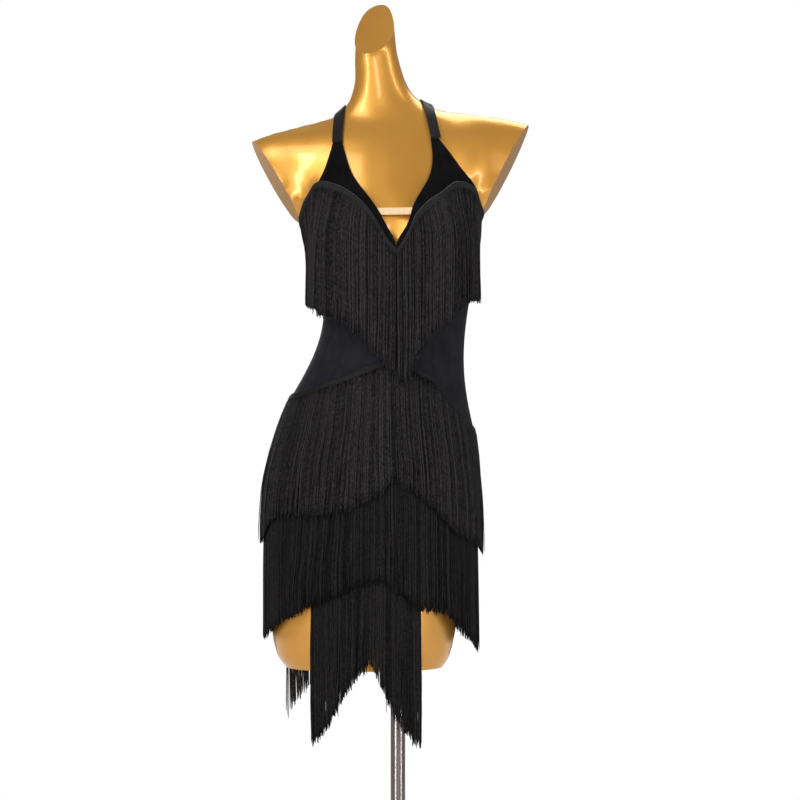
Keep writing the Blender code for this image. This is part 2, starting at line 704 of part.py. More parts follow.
def build_form(collection, material):
    """Build the smooth torso with its slanted neck and two slanted arm cuts."""
    bm = plain_form()
    for point, normal, floor in (NECK_CUT, LEFT_ARM_CUT, RIGHT_ARM_CUT):
        cut_flat(bm, Vector(point), normal, floor)
    return add_object("form_body", bm, collection, material)


def build_stand(collection, material):
    """Build the steel pole and the round foot plate that it stands in."""
    profile = (
        (0.0, BASE_THICKNESS + BASE_COLLAR_HEIGHT),
        (BASE_COLLAR_RADIUS - 0.002, BASE_THICKNESS + BASE_COLLAR_HEIGHT),
        (BASE_COLLAR_RADIUS, BASE_THICKNESS + BASE_COLLAR_HEIGHT - 0.002),
        (BASE_COLLAR_RADIUS, BASE_THICKNESS + 0.002),
        (BASE_COLLAR_RADIUS + 0.004, BASE_THICKNESS),
        (BASE_RADIUS - 0.002, BASE_THICKNESS),
        (BASE_RADIUS, BASE_THICKNESS - 0.002),
        (BASE_RADIUS, 0.0),
        (0.0, 0.0),
    )
    mesh = bpy.data.meshes.new("form_base")
    points = [(radius, 0.0, z) for radius, z in profile]
    mesh.from_pydata(points, [(k, k + 1) for k in range(len(points) - 1)], [])
    mesh.materials.append(material)
    base = bpy.data.objects.new("form_base", mesh)
    collection.objects.link(base)
    turned = base.modifiers.new("turned", "SCREW")
    turned.steps = 48
    turned.render_steps = 48
    turned.use_merge_vertices = True
    turned.merge_threshold = 0.0001
    pole_foot = BASE_THICKNESS + BASE_COLLAR_HEIGHT + 0.0003
    pole_top = FORM_BOTTOM - 0.0003
    bpy.ops.mesh.primitive_cylinder_add(
        vertices=32, radius=POLE_RADIUS, depth=pole_top - pole_foot,
        location=(0, 0, (pole_top + pole_foot) / 2))
    pole = bpy.context.object
    pole.name = "form_pole"
    pole.data.name = "form_pole"
    pole.data.shade_smooth()
    pole.data.set_sharp_from_angle(angle=math.radians(35))
    pole.data.materials.append(material)
    for owner in list(pole.users_collection):
        owner.objects.unlink(pole)
    collection.objects.link(pole)


# ---------------------------------------------------------------- the dress
def build_bodice(collection, cloth, nude, satin):
    """Build the halter fronts, the nude bar, the low back, the midriff and the straps."""
    add_object("bodice_front_left", front_piece(LEFT_FRONT, -1), collection, cloth)
    add_object("bodice_front_right", front_piece(RIGHT_FRONT, 1), collection, cloth)
    add_object("nude_bar", nude_bar(), collection, nude)
    front, back = columns_between(-90, 90), columns_between(90, 270)
    seam = TAPE_WIDTH / 2
    add_object("midriff_front", fitted_panel(
        front, lambda turn: HIP_LINE(turn) - seam, lambda turn: WAIST_SEAM,
        4, CLOTH_CLEARANCE, CLOTH_THICKNESS), collection, cloth)
    add_object("bodice_back", fitted_panel(
        back, lambda turn: HIP_LINE(turn) - seam, BACK_TOP,
        6, CLOTH_CLEARANCE, CLOTH_THICKNESS), collection, cloth)
    left = strap(LEFT_STRAP, LEFT_FRONT[-1][0], BACK_TOP(215))
    right = strap(RIGHT_STRAP, RIGHT_FRONT[-1][0], BACK_TOP(145))
    add_object("strap_left", left, collection, satin)
    add_object("strap_right", right, collection, satin)


def build_skirt(collection, cloth):
    """Build the front and back of the plain skirt that carries the lower tiers."""
    for name, turns in (("skirt_front", columns_between(-90, 90)), ("skirt_back", columns_between(90, 270))):
        panel = fitted_panel(
            turns, lambda turn: SKIRT_HEM, lambda turn: HIP_LINE(turn) - TAPE_WIDTH / 2 - SEAM_GAP,
            8, CLOTH_CLEARANCE, CLOTH_THICKNESS)
        add_object(name, panel, collection, cloth)


TIER_COLUMNS = ("name", "from_turn", "to_turn", "line", "hem", "rows", "extra")
TIERS = (
    ("bust_left", -90, 10, BUST_LINE_LEFT, BUST_HEM_LEFT, 6, over_the_bust),
    ("bust_right", 10, 90, BUST_LINE_RIGHT, BUST_HEM_RIGHT, 6, over_the_bust),
    ("hip_front", -90, 90, HIP_LINE, HIP_HEM, 6, over_thigh_tape),
    ("hip_back", 90, 270, HIP_LINE, HIP_HEM, 6, over_thigh_tape),
    ("thigh_front", -90, 90, THIGH_LINE, THIGH_HEM, 5, over_point_tapes),
    ("thigh_back", 90, 270, THIGH_LINE, THIGH_HEM, 5, over_point_tapes),
    ("point_front", POINT_LEFT_TURN, POINT_RIGHT_TURN, POINT_LINE, POINT_HEM, 4, no_rise),
    ("point_back", BACK_POINT_FROM_TURN, BACK_POINT_TO_TURN, BACK_POINT_LINE, BACK_POINT_HEM, 4, no_rise),
)


def build_tiers(collection, tape, fringe):
    """Build each tier of fringe and the folded tape that it hangs from."""
    for row in TIERS:
        tier = dict(zip(TIER_COLUMNS, row))
        name = tier["name"]
        on_bust = name.startswith("bust")
        step = COLUMN_STEP / 2 if on_bust else COLUMN_STEP
        turns = columns_between(tier["from_turn"], tier["to_turn"], step)
        extra = tier["extra"]
        rise = extra if on_bust else no_rise
        add_object(name + "_tape", tape_panel(turns, tier["line"], rise), collection, tape)
        crowding, settling = (1.0, side_settling) if on_bust else (1.3, no_settling)
        reach = hanging_panel(turns, tier["hem"], tier["line"], tier["rows"], extra, crowding, settling)
        add_object(name + "_fringe", reach, collection, fringe)


def main():
    """Build the dress and the form it stands on."""
    clear_scene()
    collection = bpy.data.collections.new(COLLECTION)
    bpy.context.scene.collection.children.link(collection)
    cloth = make_material("black_knit", (0.013, 0.012, 0.014), 0.62)
    satin = make_material("black_elastic", (0.020, 0.019, 0.023), 0.45)
    tape = make_material("black_tape", (0.016, 0.015, 0.018), 0.55)
    fringe = make_material("black_fringe", (0.010, 0.010, 0.012), 0.50)
    nude = make_material("nude_band", (0.87, 0.60, 0.36), 0.55)
    gold = make_material("gold_lacquer", (0.78, 0.47, 0.14), 0.22, 0.85)
    steel = make_material("brushed_steel", (0.50, 0.48, 0.47), 0.28, 1.0)
    build_form(collection, gold)
    build_stand(collection, steel)
    build_bodice(collection, cloth, nude, satin)
    build_skirt(collection, cloth)
    build_tiers(collection, tape, fringe)


if __name__ == "__main__":
    main()
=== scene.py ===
# %% [markdown]
# # A latin dance dress in tiers of fringe
#
# The dress is a halter-neck leotard and a short skirt in black stretch knit.  Five
# tiers of long fringe hang from narrow folded tapes sewn on along slanting lines.
# It is shown on a gold display torso with a steel pole and a round foot plate.
#
# The measured solids come first, as a fixed frame.  Every soft piece is then made
# on its own solid: panels as thin shells, tapes as folded bands with their stitches,
# and each fringe as many separate strands that hang from its tape.

# %% Load the frame
import math

import bmesh
import bpy
import numpy as np
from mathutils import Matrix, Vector


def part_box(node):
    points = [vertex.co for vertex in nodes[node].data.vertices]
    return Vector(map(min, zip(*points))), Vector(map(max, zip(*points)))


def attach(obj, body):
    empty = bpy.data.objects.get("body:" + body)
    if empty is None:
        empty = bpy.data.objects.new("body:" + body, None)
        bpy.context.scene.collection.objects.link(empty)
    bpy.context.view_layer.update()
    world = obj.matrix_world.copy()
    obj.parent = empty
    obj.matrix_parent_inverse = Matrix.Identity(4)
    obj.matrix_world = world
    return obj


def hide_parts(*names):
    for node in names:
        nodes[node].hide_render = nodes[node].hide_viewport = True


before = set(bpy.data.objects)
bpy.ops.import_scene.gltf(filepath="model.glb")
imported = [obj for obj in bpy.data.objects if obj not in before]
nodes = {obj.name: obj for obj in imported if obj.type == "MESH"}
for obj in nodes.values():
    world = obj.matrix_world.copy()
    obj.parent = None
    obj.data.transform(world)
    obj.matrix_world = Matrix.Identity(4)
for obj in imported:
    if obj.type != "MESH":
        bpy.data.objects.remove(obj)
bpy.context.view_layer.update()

# %% [markdown]
# ## Camera
#
# A garment is best seen from far back through a long lens, at waist height, so that
# its hems stay level and its sides stay upright.  Four metres away and level is such
# a view, and the lens is chosen for the width that should fit at the pole.

# %% Camera
CAMERA_PLACE = Vector((0.003, -4.0, 1.054))
VIEW_HALF_WIDTH = 0.58
SENSOR_WIDTH = 36.0


def added(name, data):
    """Put new data into the scene as an object."""
    item = bpy.data.objects.new(name, data)
    bpy.context.scene.collection.objects.link(item)
    return item


camera_data = bpy.data.cameras.new("camera")
camera_data.sensor_width = SENSOR_WIDTH
camera_data.lens = SENSOR_WIDTH / 2 / (VIEW_HALF_WIDTH / -CAMERA_PLACE.y)
camera_data.clip_end = 60.0
camera = added("camera", camera_data)
camera.location = CAMERA_PLACE
camera.rotation_euler = (math.radians(90), 0.0, 0.0)
bpy.context.scene.camera = camera
print("lens:", round(camera_data.lens, 1), "mm")

# %% [markdown]
# ## Light
#
# Lacquer looks curved by its highlights, and an upright strip light draws a long
# narrow one.  A tall strip stands on each side at the front, and a short one gives the
# neck its middle highlight.  A broad light from high on the left shows the shoulders,
# weak lights fill the front, the top and the back, and the dim surroundings leave the
# edges of the lacquer deep and warm.

# %% Light and world
STUDIO_GREY = 0.26
WARM_WHITE = (1.0, 0.99, 0.975, 1.0)
PURE_WHITE = (1.0, 1.0, 1.0, 1.0)
BACKDROP_WHITE = 1.0


def add_light(name, place, target, size, power):
    """Add a rectangular soft light that faces a target."""
    data = bpy.data.lights.new(name, "AREA")
    data.shape = "RECTANGLE"
    data.size, data.size_y = size
    data.energy = power
    light = added(name, data)
    light.location = place
    direction = Vector(target) - Vector(place)
    light.rotation_euler = direction.to_track_quat("-Z", "Y").to_euler()


# name, place, target, width and height, power
LIGHTS = (
    ("strip_left", (-1.75, -2.3, 1.75), (0.0, 0.0, 1.45), (0.26, 3.2), 38.0),
    ("strip_right", (1.85, -1.4, 1.75), (0.0, 0.0, 1.45), (0.14, 3.2), 20.0),
    ("key_left", (-2.1, -2.3, 3.9), (0.0, 0.0, 1.35), (1.9, 1.4), 30.0),
    ("neck_strip", (-0.32, -3.2, 2.05), (0.0, 0.0, 1.50), (0.36, 1.2), 12.0),
    ("front_fill", (1.1, -3.8, 1.7), (0.0, 0.0, 1.25), (1.6, 1.6), 9.0),
    ("top_fill", (0.6, 1.0, 3.2), (0.0, 0.0, 1.30), (1.6, 1.6), 30.0),
    ("back_fill", (-0.9, 3.0, 2.0), (0.0, 0.0, 1.10), (1.6, 1.6), 14.0),
)
for row in LIGHTS:
    add_light(*row)

world = bpy.data.worlds.new("studio")
bpy.context.scene.world = world
world.use_nodes = True
world_nodes, world_links = world.node_tree.nodes, world.node_tree.links
world_nodes.clear()
world_output = world_nodes.new("ShaderNodeOutputWorld")
seen = world_nodes.new("ShaderNodeMixShader")
path = world_nodes.new("ShaderNodeLightPath")
world_links.new(path.outputs["Is Camera Ray"], seen.inputs[0])
for number, colour, strength in ((1, WARM_WHITE, STUDIO_GREY), (2, PURE_WHITE, BACKDROP_WHITE)):
    background = world_nodes.new("ShaderNodeBackground")
    background.inputs["Color"].default_value = colour
    background.inputs["Strength"].default_value = strength
    world_links.new(background.outputs[0], seen.inputs[number])
world_links.new(seen.outputs[0], world_output.inputs["Surface"])
bpy.context.scene.view_settings.view_transform = "Standard"
print("lights:", [row[0] for row in LIGHTS])

# %% [markdown]
# ## Shader helpers
#
# A finish is easier to read as arithmetic than as a web of nodes.  The small class
# below wraps one output socket, and the usual signs add Math nodes between such
# sockets.  `Finish` starts a material and adds any other node in a single call.


# %% A socket that can be calculated with
class Value:
    """One number of a shader, with the arithmetic that the finishes use."""

    def __init__(self, finish, socket):
        self.finish = finish
        self.socket = socket

    def maths(self, operation, *others):
        """Return the result of a Math node on this value and others."""
        inputs = {0: self.socket}
        for k, other in enumerate(others):
            inputs[k + 1] = other.socket if isinstance(other, Value) else other
        return self.finish.node("ShaderNodeMath", {"operation": operation}, inputs)

    def __add__(self, other):
        return self.maths("ADD", other)

    def __sub__(self, other):
        return self.maths("SUBTRACT", other)

    def __mul__(self, other):
        return self.maths("MULTIPLY", other)

    def sine(self):
        """Return the sine of this value."""
        return self.maths("SINE")


# %% A finish
class Finish:
    """A material that is built up from calls."""

    def __init__(self, name):
        self.material = bpy.data.materials.new(name)
        self.material.use_nodes = True
        self.tree = self.material.node_tree
        self.shader = self.tree.nodes["Principled BSDF"]

    def node(self, kind, settings, inputs, output=0):
        """Add a node: its settings first, then the values or links of its sockets."""
        made = self.tree.nodes.new(kind)
        for name, value in settings.items():
            setattr(made, name, value)
        for name, value in inputs.items():
            value = value.socket if isinstance(value, Value) else value
            if isinstance(value, bpy.types.NodeSocket):
                self.tree.links.new(value, made.inputs[name])
            else:
                made.inputs[name].default_value = value
        return Value(self, made.outputs[output])

    def place(self):
        """Return the object coordinates."""
        return self.node("ShaderNodeTexCoord", {}, {}, "Object")

    def surface(self):
        """Return the piece's own lengthwise coordinates, in metres."""
        return self.node("ShaderNodeUVMap", {"uv_map": "cloth"}, {}, "UV")

    def attribute(self, name):
        """Return a number that the mesh stores at each point."""
        return self.node("ShaderNodeAttribute", {"attribute_name": name}, {}, "Fac")

    def parts(self, vector):
        """Return the three numbers of a vector."""
        made = self.tree.nodes.new("ShaderNodeSeparateXYZ")
        self.tree.links.new(vector.socket, made.inputs[0])
        return [Value(self, output) for output in made.outputs]

    def noise(self, vector, scale, detail=2.0, roughness=0.5):
        """Return a soft noise from 0 to 1."""
        inputs = {"Vector": vector, "Scale": scale, "Detail": detail, "Roughness": roughness}
        return self.node("ShaderNodeTexNoise", {}, inputs, "Fac")

    def stretched(self, vector, scale):
        """Return the coordinates scaled by a different number along each axis."""
        return self.node("ShaderNodeMapping", {}, {"Vector": vector, "Scale": scale})

    def range(self, value, low, high, to_low, to_high):
        """Return a value moved smoothly from one range to another, and kept inside it."""
        ends = {"From Min": low, "From Max": high, "To Min": to_low, "To Max": to_high}
        return self.node("ShaderNodeMapRange", {"interpolation_type": "SMOOTHSTEP"}, {"Value": value, **ends})

    def blend(self, share, first, second):
        """Return a colour between two colours."""
        colours = {0: share, 6: (*first, 1.0), 7: (*second, 1.0)}
        return self.node("ShaderNodeMix", {"data_type": "RGBA", "blend_type": "MIX"}, colours, 2)

    def feed(self, **sockets):
        """Link or set the shader's sockets."""
        for name, value in sockets.items():
            socket = self.shader.inputs[name.replace("_", " ")]
            if isinstance(value, Value):
                self.tree.links.new(value.socket, socket)
            else:
                socket.default_value = value

    def bump(self, height, distance, strength):
        """Raise the surface by a height in metres."""
        inputs = {"Height": height, "Distance": distance, "Strength": strength}
        self.feed(Normal=self.node("ShaderNodeBump", {}, inputs))
        return self.material


# %% [markdown]
# ## Finishes
#
# Each finish keeps to what the real one shows.  The lacquer is a thin metallic paint
# under a clear coat, with a faint mottle.  The knit has fine ribs and a soft bloom.
# A strand is chainette: a yarn with a visible twist.  Its grey is partly its own and partly
# painted shade, darker in the inner layer and towards the edges of a clump, and short
# lighter stretches along it are painted highlights.  The tape's fold carries a painted
# highlight, and the lower tiers take darker copies of the tape and the fringe as painted
# shade.  The ribs, the weave and the twist are sine waves at their real pitch, in metres.
# Black cloth reflects little, so its index or its specular level is low.

# %% Gold lacquer
FULL_TURN = 2 * math.pi
GOLD = (0.72, 0.345, 0.052)
GOLD_DEEP = (0.62, 0.275, 0.036)


def gold_lacquer():
    """Return the lacquer of the display torso."""
    finish = Finish("gold_lacquer")
    place = finish.place()
    mottle = finish.noise(place, 9.0, 2.0)
    colour = finish.blend(finish.range(mottle, 0.3, 0.75, 0.0, 0.6), GOLD, GOLD_DEEP)
    finish.feed(Base_Color=colour, Metallic=0.6, Roughness=0.35, Coat_Weight=0.5, Coat_Roughness=0.09)
    return finish.material


# %% Knit, elastic and tape
RIB_PITCH, COURSE_PITCH, ELASTIC_PITCH, WEAVE_PITCH = 0.0011, 0.0009, 0.0016, 0.0011


def knit(name, dark, light, rough, reflectance):
    """Return a fine stretch knit with ribs and small uneven patches."""
    finish = Finish(name)
    surface = finish.surface()
    across, along, _ = finish.parts(surface)
    rib = (across * (FULL_TURN / RIB_PITCH)).sine()
    course = (along * (FULL_TURN / COURSE_PITCH)).sine()
    bloom = finish.noise(surface, 38.0, 4.0, 0.6)
    pull = finish.noise(finish.stretched(surface, (160.0, 30.0, 1.0)), 1.0, 2.0)
    shade = finish.range(bloom * 0.6 + pull * 0.4, 0.3, 0.7, 0.0, 1.0)
    finish.feed(Base_Color=finish.blend(shade, dark, light), IOR=reflectance)
    finish.feed(Roughness=finish.range(bloom, 0.2, 0.8, rough, rough + 0.12))
    return finish.bump(rib * 0.5 + course * 0.3 + bloom, 0.00012, 0.7)


def elastic(name, dark, light, rough):
    """Return an elastic with upright ribs."""
    finish = Finish(name)
    place = finish.place()
    across, _, _ = finish.parts(place)
    rib = (across * (FULL_TURN / ELASTIC_PITCH)).sine()
    grain = finish.noise(finish.stretched(place, (300.0, 40.0, 40.0)), 1.0, 2.0)
    shade = finish.range(rib * 0.25 + grain, 0.2, 0.9, 0.0, 1.0)
    finish.feed(Base_Color=finish.blend(shade, dark, light), Specular_IOR_Level=0.2)
    finish.feed(Roughness=finish.range(grain, 0.3, 0.7, rough, rough + 0.1))
    return finish.bump(rib, 0.00018, 0.7)


def folded_tape(name, dark, fold_highlight):
    """Return the woven tape, with a painted highlight along its fold, made patchy by the wear noise."""
    finish = Finish(name)
    across, along, _ = finish.parts(finish.surface())
    weave = (across * (FULL_TURN / WEAVE_PITCH)).sine() * (along * (FULL_TURN / WEAVE_PITCH)).sine()
    fold = finish.attribute("fold")
    wear_and_uneven_highlight = finish.noise(finish.surface(), 220.0, 3.0)
    # painted highlight: the top of the fold is painted lighter, made patchy by the wear noise
    shade = finish.range(fold + wear_and_uneven_highlight * 0.35, 0.85, 1.25, 0.0, 1.0)
    finish.feed(Base_Color=finish.blend(shade, dark, fold_highlight))
    finish.feed(Roughness=finish.range(wear_and_uneven_highlight, 0.3, 0.7, 0.50, 0.64), Specular_IOR_Level=0.2)
    return finish.bump(weave * 0.6 + wear_and_uneven_highlight, 0.00014, 0.7)


# %% Chainette
TWIST_PITCH = 0.0034


def chainette(name, dark, light, rough):
    """Return twisted yarn, with a spiral ridge, a grey per strand that is partly its own and partly painted
    shade, and short painted highlights.
    """
    finish = Finish(name)
    around_strand, along, _ = finish.parts(finish.surface())
    tone_and_shade = finish.attribute("strand")
    twist = ((around_strand * 2.0 + along * (1 / TWIST_PITCH)) * FULL_TURN).sine()
    # the strand's number keeps the short lighter and darker stretches of strands apart; the lighter stretches
    # are painted highlights
    apart = finish.node("ShaderNodeCombineXYZ", {}, {0: tone_and_shade * 83.0, 1: along * 240.0})
    dash_highlight = finish.noise(apart, 1.0, 2.0)
    # the strand's grey is partly its own and partly painted shade: the inner layer and clump edges are darker
    shade = finish.range(tone_and_shade + (dash_highlight - 0.5) * 1.7, 0.25, 1.10, 0.0, 1.0)
    finish.feed(Base_Color=finish.blend(shade, dark, light), IOR=1.2)
    finish.feed(Roughness=finish.range(dash_highlight, 0.3, 0.7, rough, rough + 0.16))
    return finish.bump(twist + dash_highlight, 0.0002, 0.6)


# %% Steel
def brushed_steel(name, brush, streak_and_reflection_scale):
    """Return steel with fine brushing and darker streaks, along the axis where their scale is small.  The
    streaks are partly brushing marks and partly painted reflected lines.
    """
    finish = Finish(name)
    place = finish.place()
    brushing = finish.noise(finish.stretched(place, brush), 1.0, 3.0)
    streak_and_reflection = finish.noise(finish.stretched(place, streak_and_reflection_scale), 1.0, 2.0)
    # partly painted reflection: the streaks also stand for the dark reflected lines along the pole
    shade = finish.range(streak_and_reflection, 0.35, 0.7, 0.0, 1.0)
    finish.feed(Base_Color=finish.blend(shade, (0.46, 0.42, 0.40), (0.20, 0.165, 0.15)), Metallic=1.0)
    finish.feed(Roughness=finish.range(brushing, 0.3, 0.7, 0.20, 0.34))
    return finish.bump(brushing, 0.00003, 0.5)


# %% Make the finishes
FINISHES = {
    "gold_lacquer": gold_lacquer(),
    "brushed_steel": brushed_steel("brushed_steel", (900.0, 900.0, 6.0), (160.0, 160.0, 2.0)),
    "plate_steel": brushed_steel("plate_steel", (6.0, 900.0, 900.0), (2.0, 40.0, 40.0)),
    "black_knit": knit("black_knit", (0.0032, 0.0029, 0.0033), (0.0075, 0.0068, 0.0076), 0.62, 1.10),
    "midriff_knit": knit("midriff_knit", (0.0108, 0.0100, 0.0134), (0.0205, 0.0190, 0.0248), 0.60, 1.16),
    "black_elastic": elastic("black_elastic", (0.0060, 0.0052, 0.0064), (0.0170, 0.0155, 0.0180), 0.42),
    "nude_band": elastic("nude_band", (0.86, 0.60, 0.34), (0.94, 0.70, 0.45), 0.55),
    # The bust tapes take the lighter tape finish; the darker copy is painted shade on the tapes lower down.
    "black_tape": folded_tape("black_tape", (0.010, 0.009, 0.010), (0.150, 0.138, 0.142)),
    "shaded_tape": folded_tape("shaded_tape", (0.005, 0.0045, 0.005), (0.045, 0.042, 0.043)),
    # The thigh and front point tiers take the darker copy of the fringe: painted shade where the light from
    # above falls off.
    "black_fringe": chainette("black_fringe", (0.0010, 0.0008, 0.0010), (0.0390, 0.0355, 0.0370), 0.42),
    "shaded_fringe": chainette("shaded_fringe", (0.0012, 0.0010, 0.0012), (0.0215, 0.0195, 0.0205), 0.50),
    "grey_fringe": chainette("grey_fringe", (0.0060, 0.0054, 0.0054), (0.0950, 0.0880, 0.0850), 0.50),
}
print("finishes:", sorted(FINISHES))

# %% [markdown]
# ## Reading the solids
#
# All the cloth is arranged round one upright line, so a point on it is a turn, a
# height and a distance from that line.  Turns are degrees from centre front.  Each
# fringe or tape solid is a wall on upright columns; its columns are read back here,
# so that strands and tapes follow the solid exactly.

# %% Turns and columns
AXIS_X = -0.022
SAME_COLUMN = 0.15      # degrees
FRINGE_ROWS, TAPE_ROWS = 15, 2


def corners_of(name):
    """Return the different corners of a solid."""
    points = np.array([vert.co for vert in nodes[name].data.vertices])
    return np.unique(np.round(points, 5), axis=0)


def reach_of(points):
    """Return the distance of each point from the upright line."""
    return np.hypot(points[:, 0] - AXIS_X, points[:, 1])


def turn_of(points, back):
    """Return the turn of each point, from 0 to 360 for a piece on the back."""
    turns = np.degrees(np.arctan2(points[:, 0] - AXIS_X, -points[:, 1]))
    return np.mod(turns, 360.0) if back else turns


def place(turn, reach, height):
    """Return points at turns, distances from the upright line and heights."""
    angle = np.radians(turn)
    return np.stack((AXIS_X + reach * np.sin(angle), -reach * np.cos(angle), height), axis=-1)


def columns_of(name, back, rows):
    """Return a wall's columns: turns, and per column even heights with both distances."""
    points = corners_of(name)
    turns = turn_of(points, back)
    order = np.argsort(turns)
    points, turns = points[order], turns[order]
    groups = np.split(np.arange(len(turns)), np.where(np.diff(turns) > SAME_COLUMN)[0] + 1)
    table = []
    for group in groups:
        part = points[group]
        part = part[np.lexsort((reach_of(part), np.round(part[:, 2], 4)))]
        reach = reach_of(part)
        known = part[0::2, 2]
        level = np.linspace(known[0], known[-1], rows)
        inner, outer = np.interp(level, known, reach[0::2]), np.interp(level, known, reach[1::2])
        table.append((level, inner, outer))
    where = np.array([turns[group].mean() for group in groups])
    return where, *np.moveaxis(np.array(table), 1, 0)


def between(xs, table, x):
    """Return the rows of a table at new places, on a curve without overshoot."""
    rise = np.diff(table, axis=0) / np.diff(xs)[:, None]
    slope = np.zeros_like(table)
    both = rise[:-1] * rise[1:]
    with np.errstate(divide="ignore", invalid="ignore"):
        slope[1:-1] = np.where(both > 0, 2 * both / (rise[:-1] + rise[1:]), 0.0)
    slope[0], slope[-1] = rise[0], rise[-1]
    i = np.clip(np.searchsorted(xs, x, side="right") - 1, 0, len(xs) - 2)
    h = (xs[i + 1] - xs[i])[:, None]
    t = np.clip((x - xs[i])[:, None] / h, 0.0, 1.0)
    before = (1 + 2 * t) * (1 - t) ** 2 * table[i] + t * (1 - t) ** 2 * h * slope[i]
    after = t * t * (3 - 2 * t) * table[i + 1] + t * t * (t - 1) * h * slope[i + 1]
    return before + after


print("columns and rows of the left bust:", columns_of("bust_left_fringe", False, FRINGE_ROWS)[1].shape)

# %% [markdown]
# ## Mesh helpers
#
# Fringe means thousands of small tubes, so a mesh is filled straight from arrays.
# `finish_piece` gives a piece its finish, and lets it ride on the frame in place of
# the solid that it stands for.

# %% Mesh helpers
def deselect():
    """Leave nothing selected, so that an operator acts only on the new piece."""
    for item in list(bpy.context.selected_objects):
        item.select_set(False)


def select_only(item):
    """Make an object the active one, and the only selected one."""
    deselect()
    item.select_set(True)
    bpy.context.view_layer.objects.active = item


def mesh_from(name, points, quads, coordinates, numbers):
    """Return an object from points and quads, with coordinates per corner and numbers per point."""
    mesh = bpy.data.meshes.new(name)
    mesh.vertices.add(len(points))
    mesh.vertices.foreach_set("co", np.asarray(points, np.float32).ravel())
    mesh.loops.add(quads.size)
    mesh.loops.foreach_set("vertex_index", quads.astype(np.int32).ravel())
    mesh.polygons.add(len(quads))
    mesh.polygons.foreach_set("loop_start", np.arange(0, quads.size, quads.shape[1], dtype=np.int32))
    mesh.update(calc_edges=True)
    layer = mesh.uv_layers.new(name="cloth")
    layer.data.foreach_set("uv", np.asarray(coordinates, np.float32).ravel())
    for key, values in numbers.items():
        attribute = mesh.attributes.new(key, "FLOAT", "POINT")
        attribute.data.foreach_set("value", np.asarray(values, np.float32))
    mesh.shade_smooth()
    return added(name, mesh)


def finish_piece(item, finish, replaced=None):
    """Give a piece its finish, and let it stand for its solid if it has one."""
    item.data.materials.clear()
    item.data.materials.append(FINISHES[finish])
    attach(item, "root")
    if replaced:
        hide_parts(replaced)
    triangles = sum(len(face.vertices) - 2 for face in item.data.polygons)
    print(f"{item.name}: {triangles} triangles")
    return item


def apply_modifiers(item):
    """Apply every modifier of an object."""
    select_only(item)
    for modifier in list(item.modifiers):
        bpy.ops.object.modifier_apply(modifier=modifier.name)


# %% Selecting by place
def select_faces(item, test):
    """Select the faces of an object in edit mode whose centre and normal pass a test."""
    bm = bmesh.from_edit_mesh(item.data)
    for face in bm.faces:
        face.select = test(face.calc_center_median(), face.normal)
    bm.select_flush_mode()
    bmesh.update_edit_mesh(item.data)


# %% [markdown]
# ## The display torso
#
# The real one is moulded in one piece, then sprayed.  Its neck and its arms end in
# flat slanting cuts with a crisp edge, and its underside is flat.  The solid has flat
# facets, which lacquer would show at once, so a welded copy is remeshed into small even
# quads and smoothed.  Smoothing would also round the rims of these cuts, so those ends
# are first drawn out a little, and cut off again at the end.

# %% Cuts of the torso
REMESH_SIZE = 0.006
SMOOTH_TURNS = 50
SMOOTH_IN_AND_OUT = (0.50, -0.44)   # the second step gives back most of what the first takes
DRAWN_OUT = 0.024
SAME_PLANE, SAME_POINT = 0.0006, 0.00001
ARMPIT = 1.302
# a point on each flat cut, the direction that it faces, how far its rim may reach, and
# the height below which nothing is cut
CUTS = (
    ((-0.033, 0.012, 1.604), (-0.21, -0.77, 0.60), 0.090, ARMPIT),
    ((-0.2130, 0.000, 1.4320), (-0.850, -0.200, -0.480), 0.145, ARMPIT),
    ((0.1900, 0.000, 1.4535), (0.880, -0.170, -0.440), 0.165, ARMPIT),
    ((-0.030, 0.000, 0.6680), (0.0, 0.0, -1.0), 0.180, 0.0),
)


def welded_copy(name, new_name):
    """Return a welded copy of a solid, with its triangles joined to quads."""
    bm = bmesh.new()
    bm.from_mesh(nodes[name].data)
    bmesh.ops.remove_doubles(bm, verts=bm.verts, dist=SAME_POINT)
    bmesh.ops.join_triangles(
        bm, faces=bm.faces, angle_face_threshold=math.radians(20), angle_shape_threshold=math.radians(60))
    mesh = bpy.data.meshes.new(new_name)
    bm.to_mesh(mesh)
    bm.free()
    return added(new_name, mesh)


def subdivided(item, levels):
    """Round a piece with a subdivision surface."""
    surface = item.modifiers.new("rounding", "SUBSURF")
    surface.levels = levels
    surface.render_levels = levels
    surface.boundary_smooth = "PRESERVE_CORNERS"
    apply_modifiers(item)
    item.data.shade_smooth()
    return item


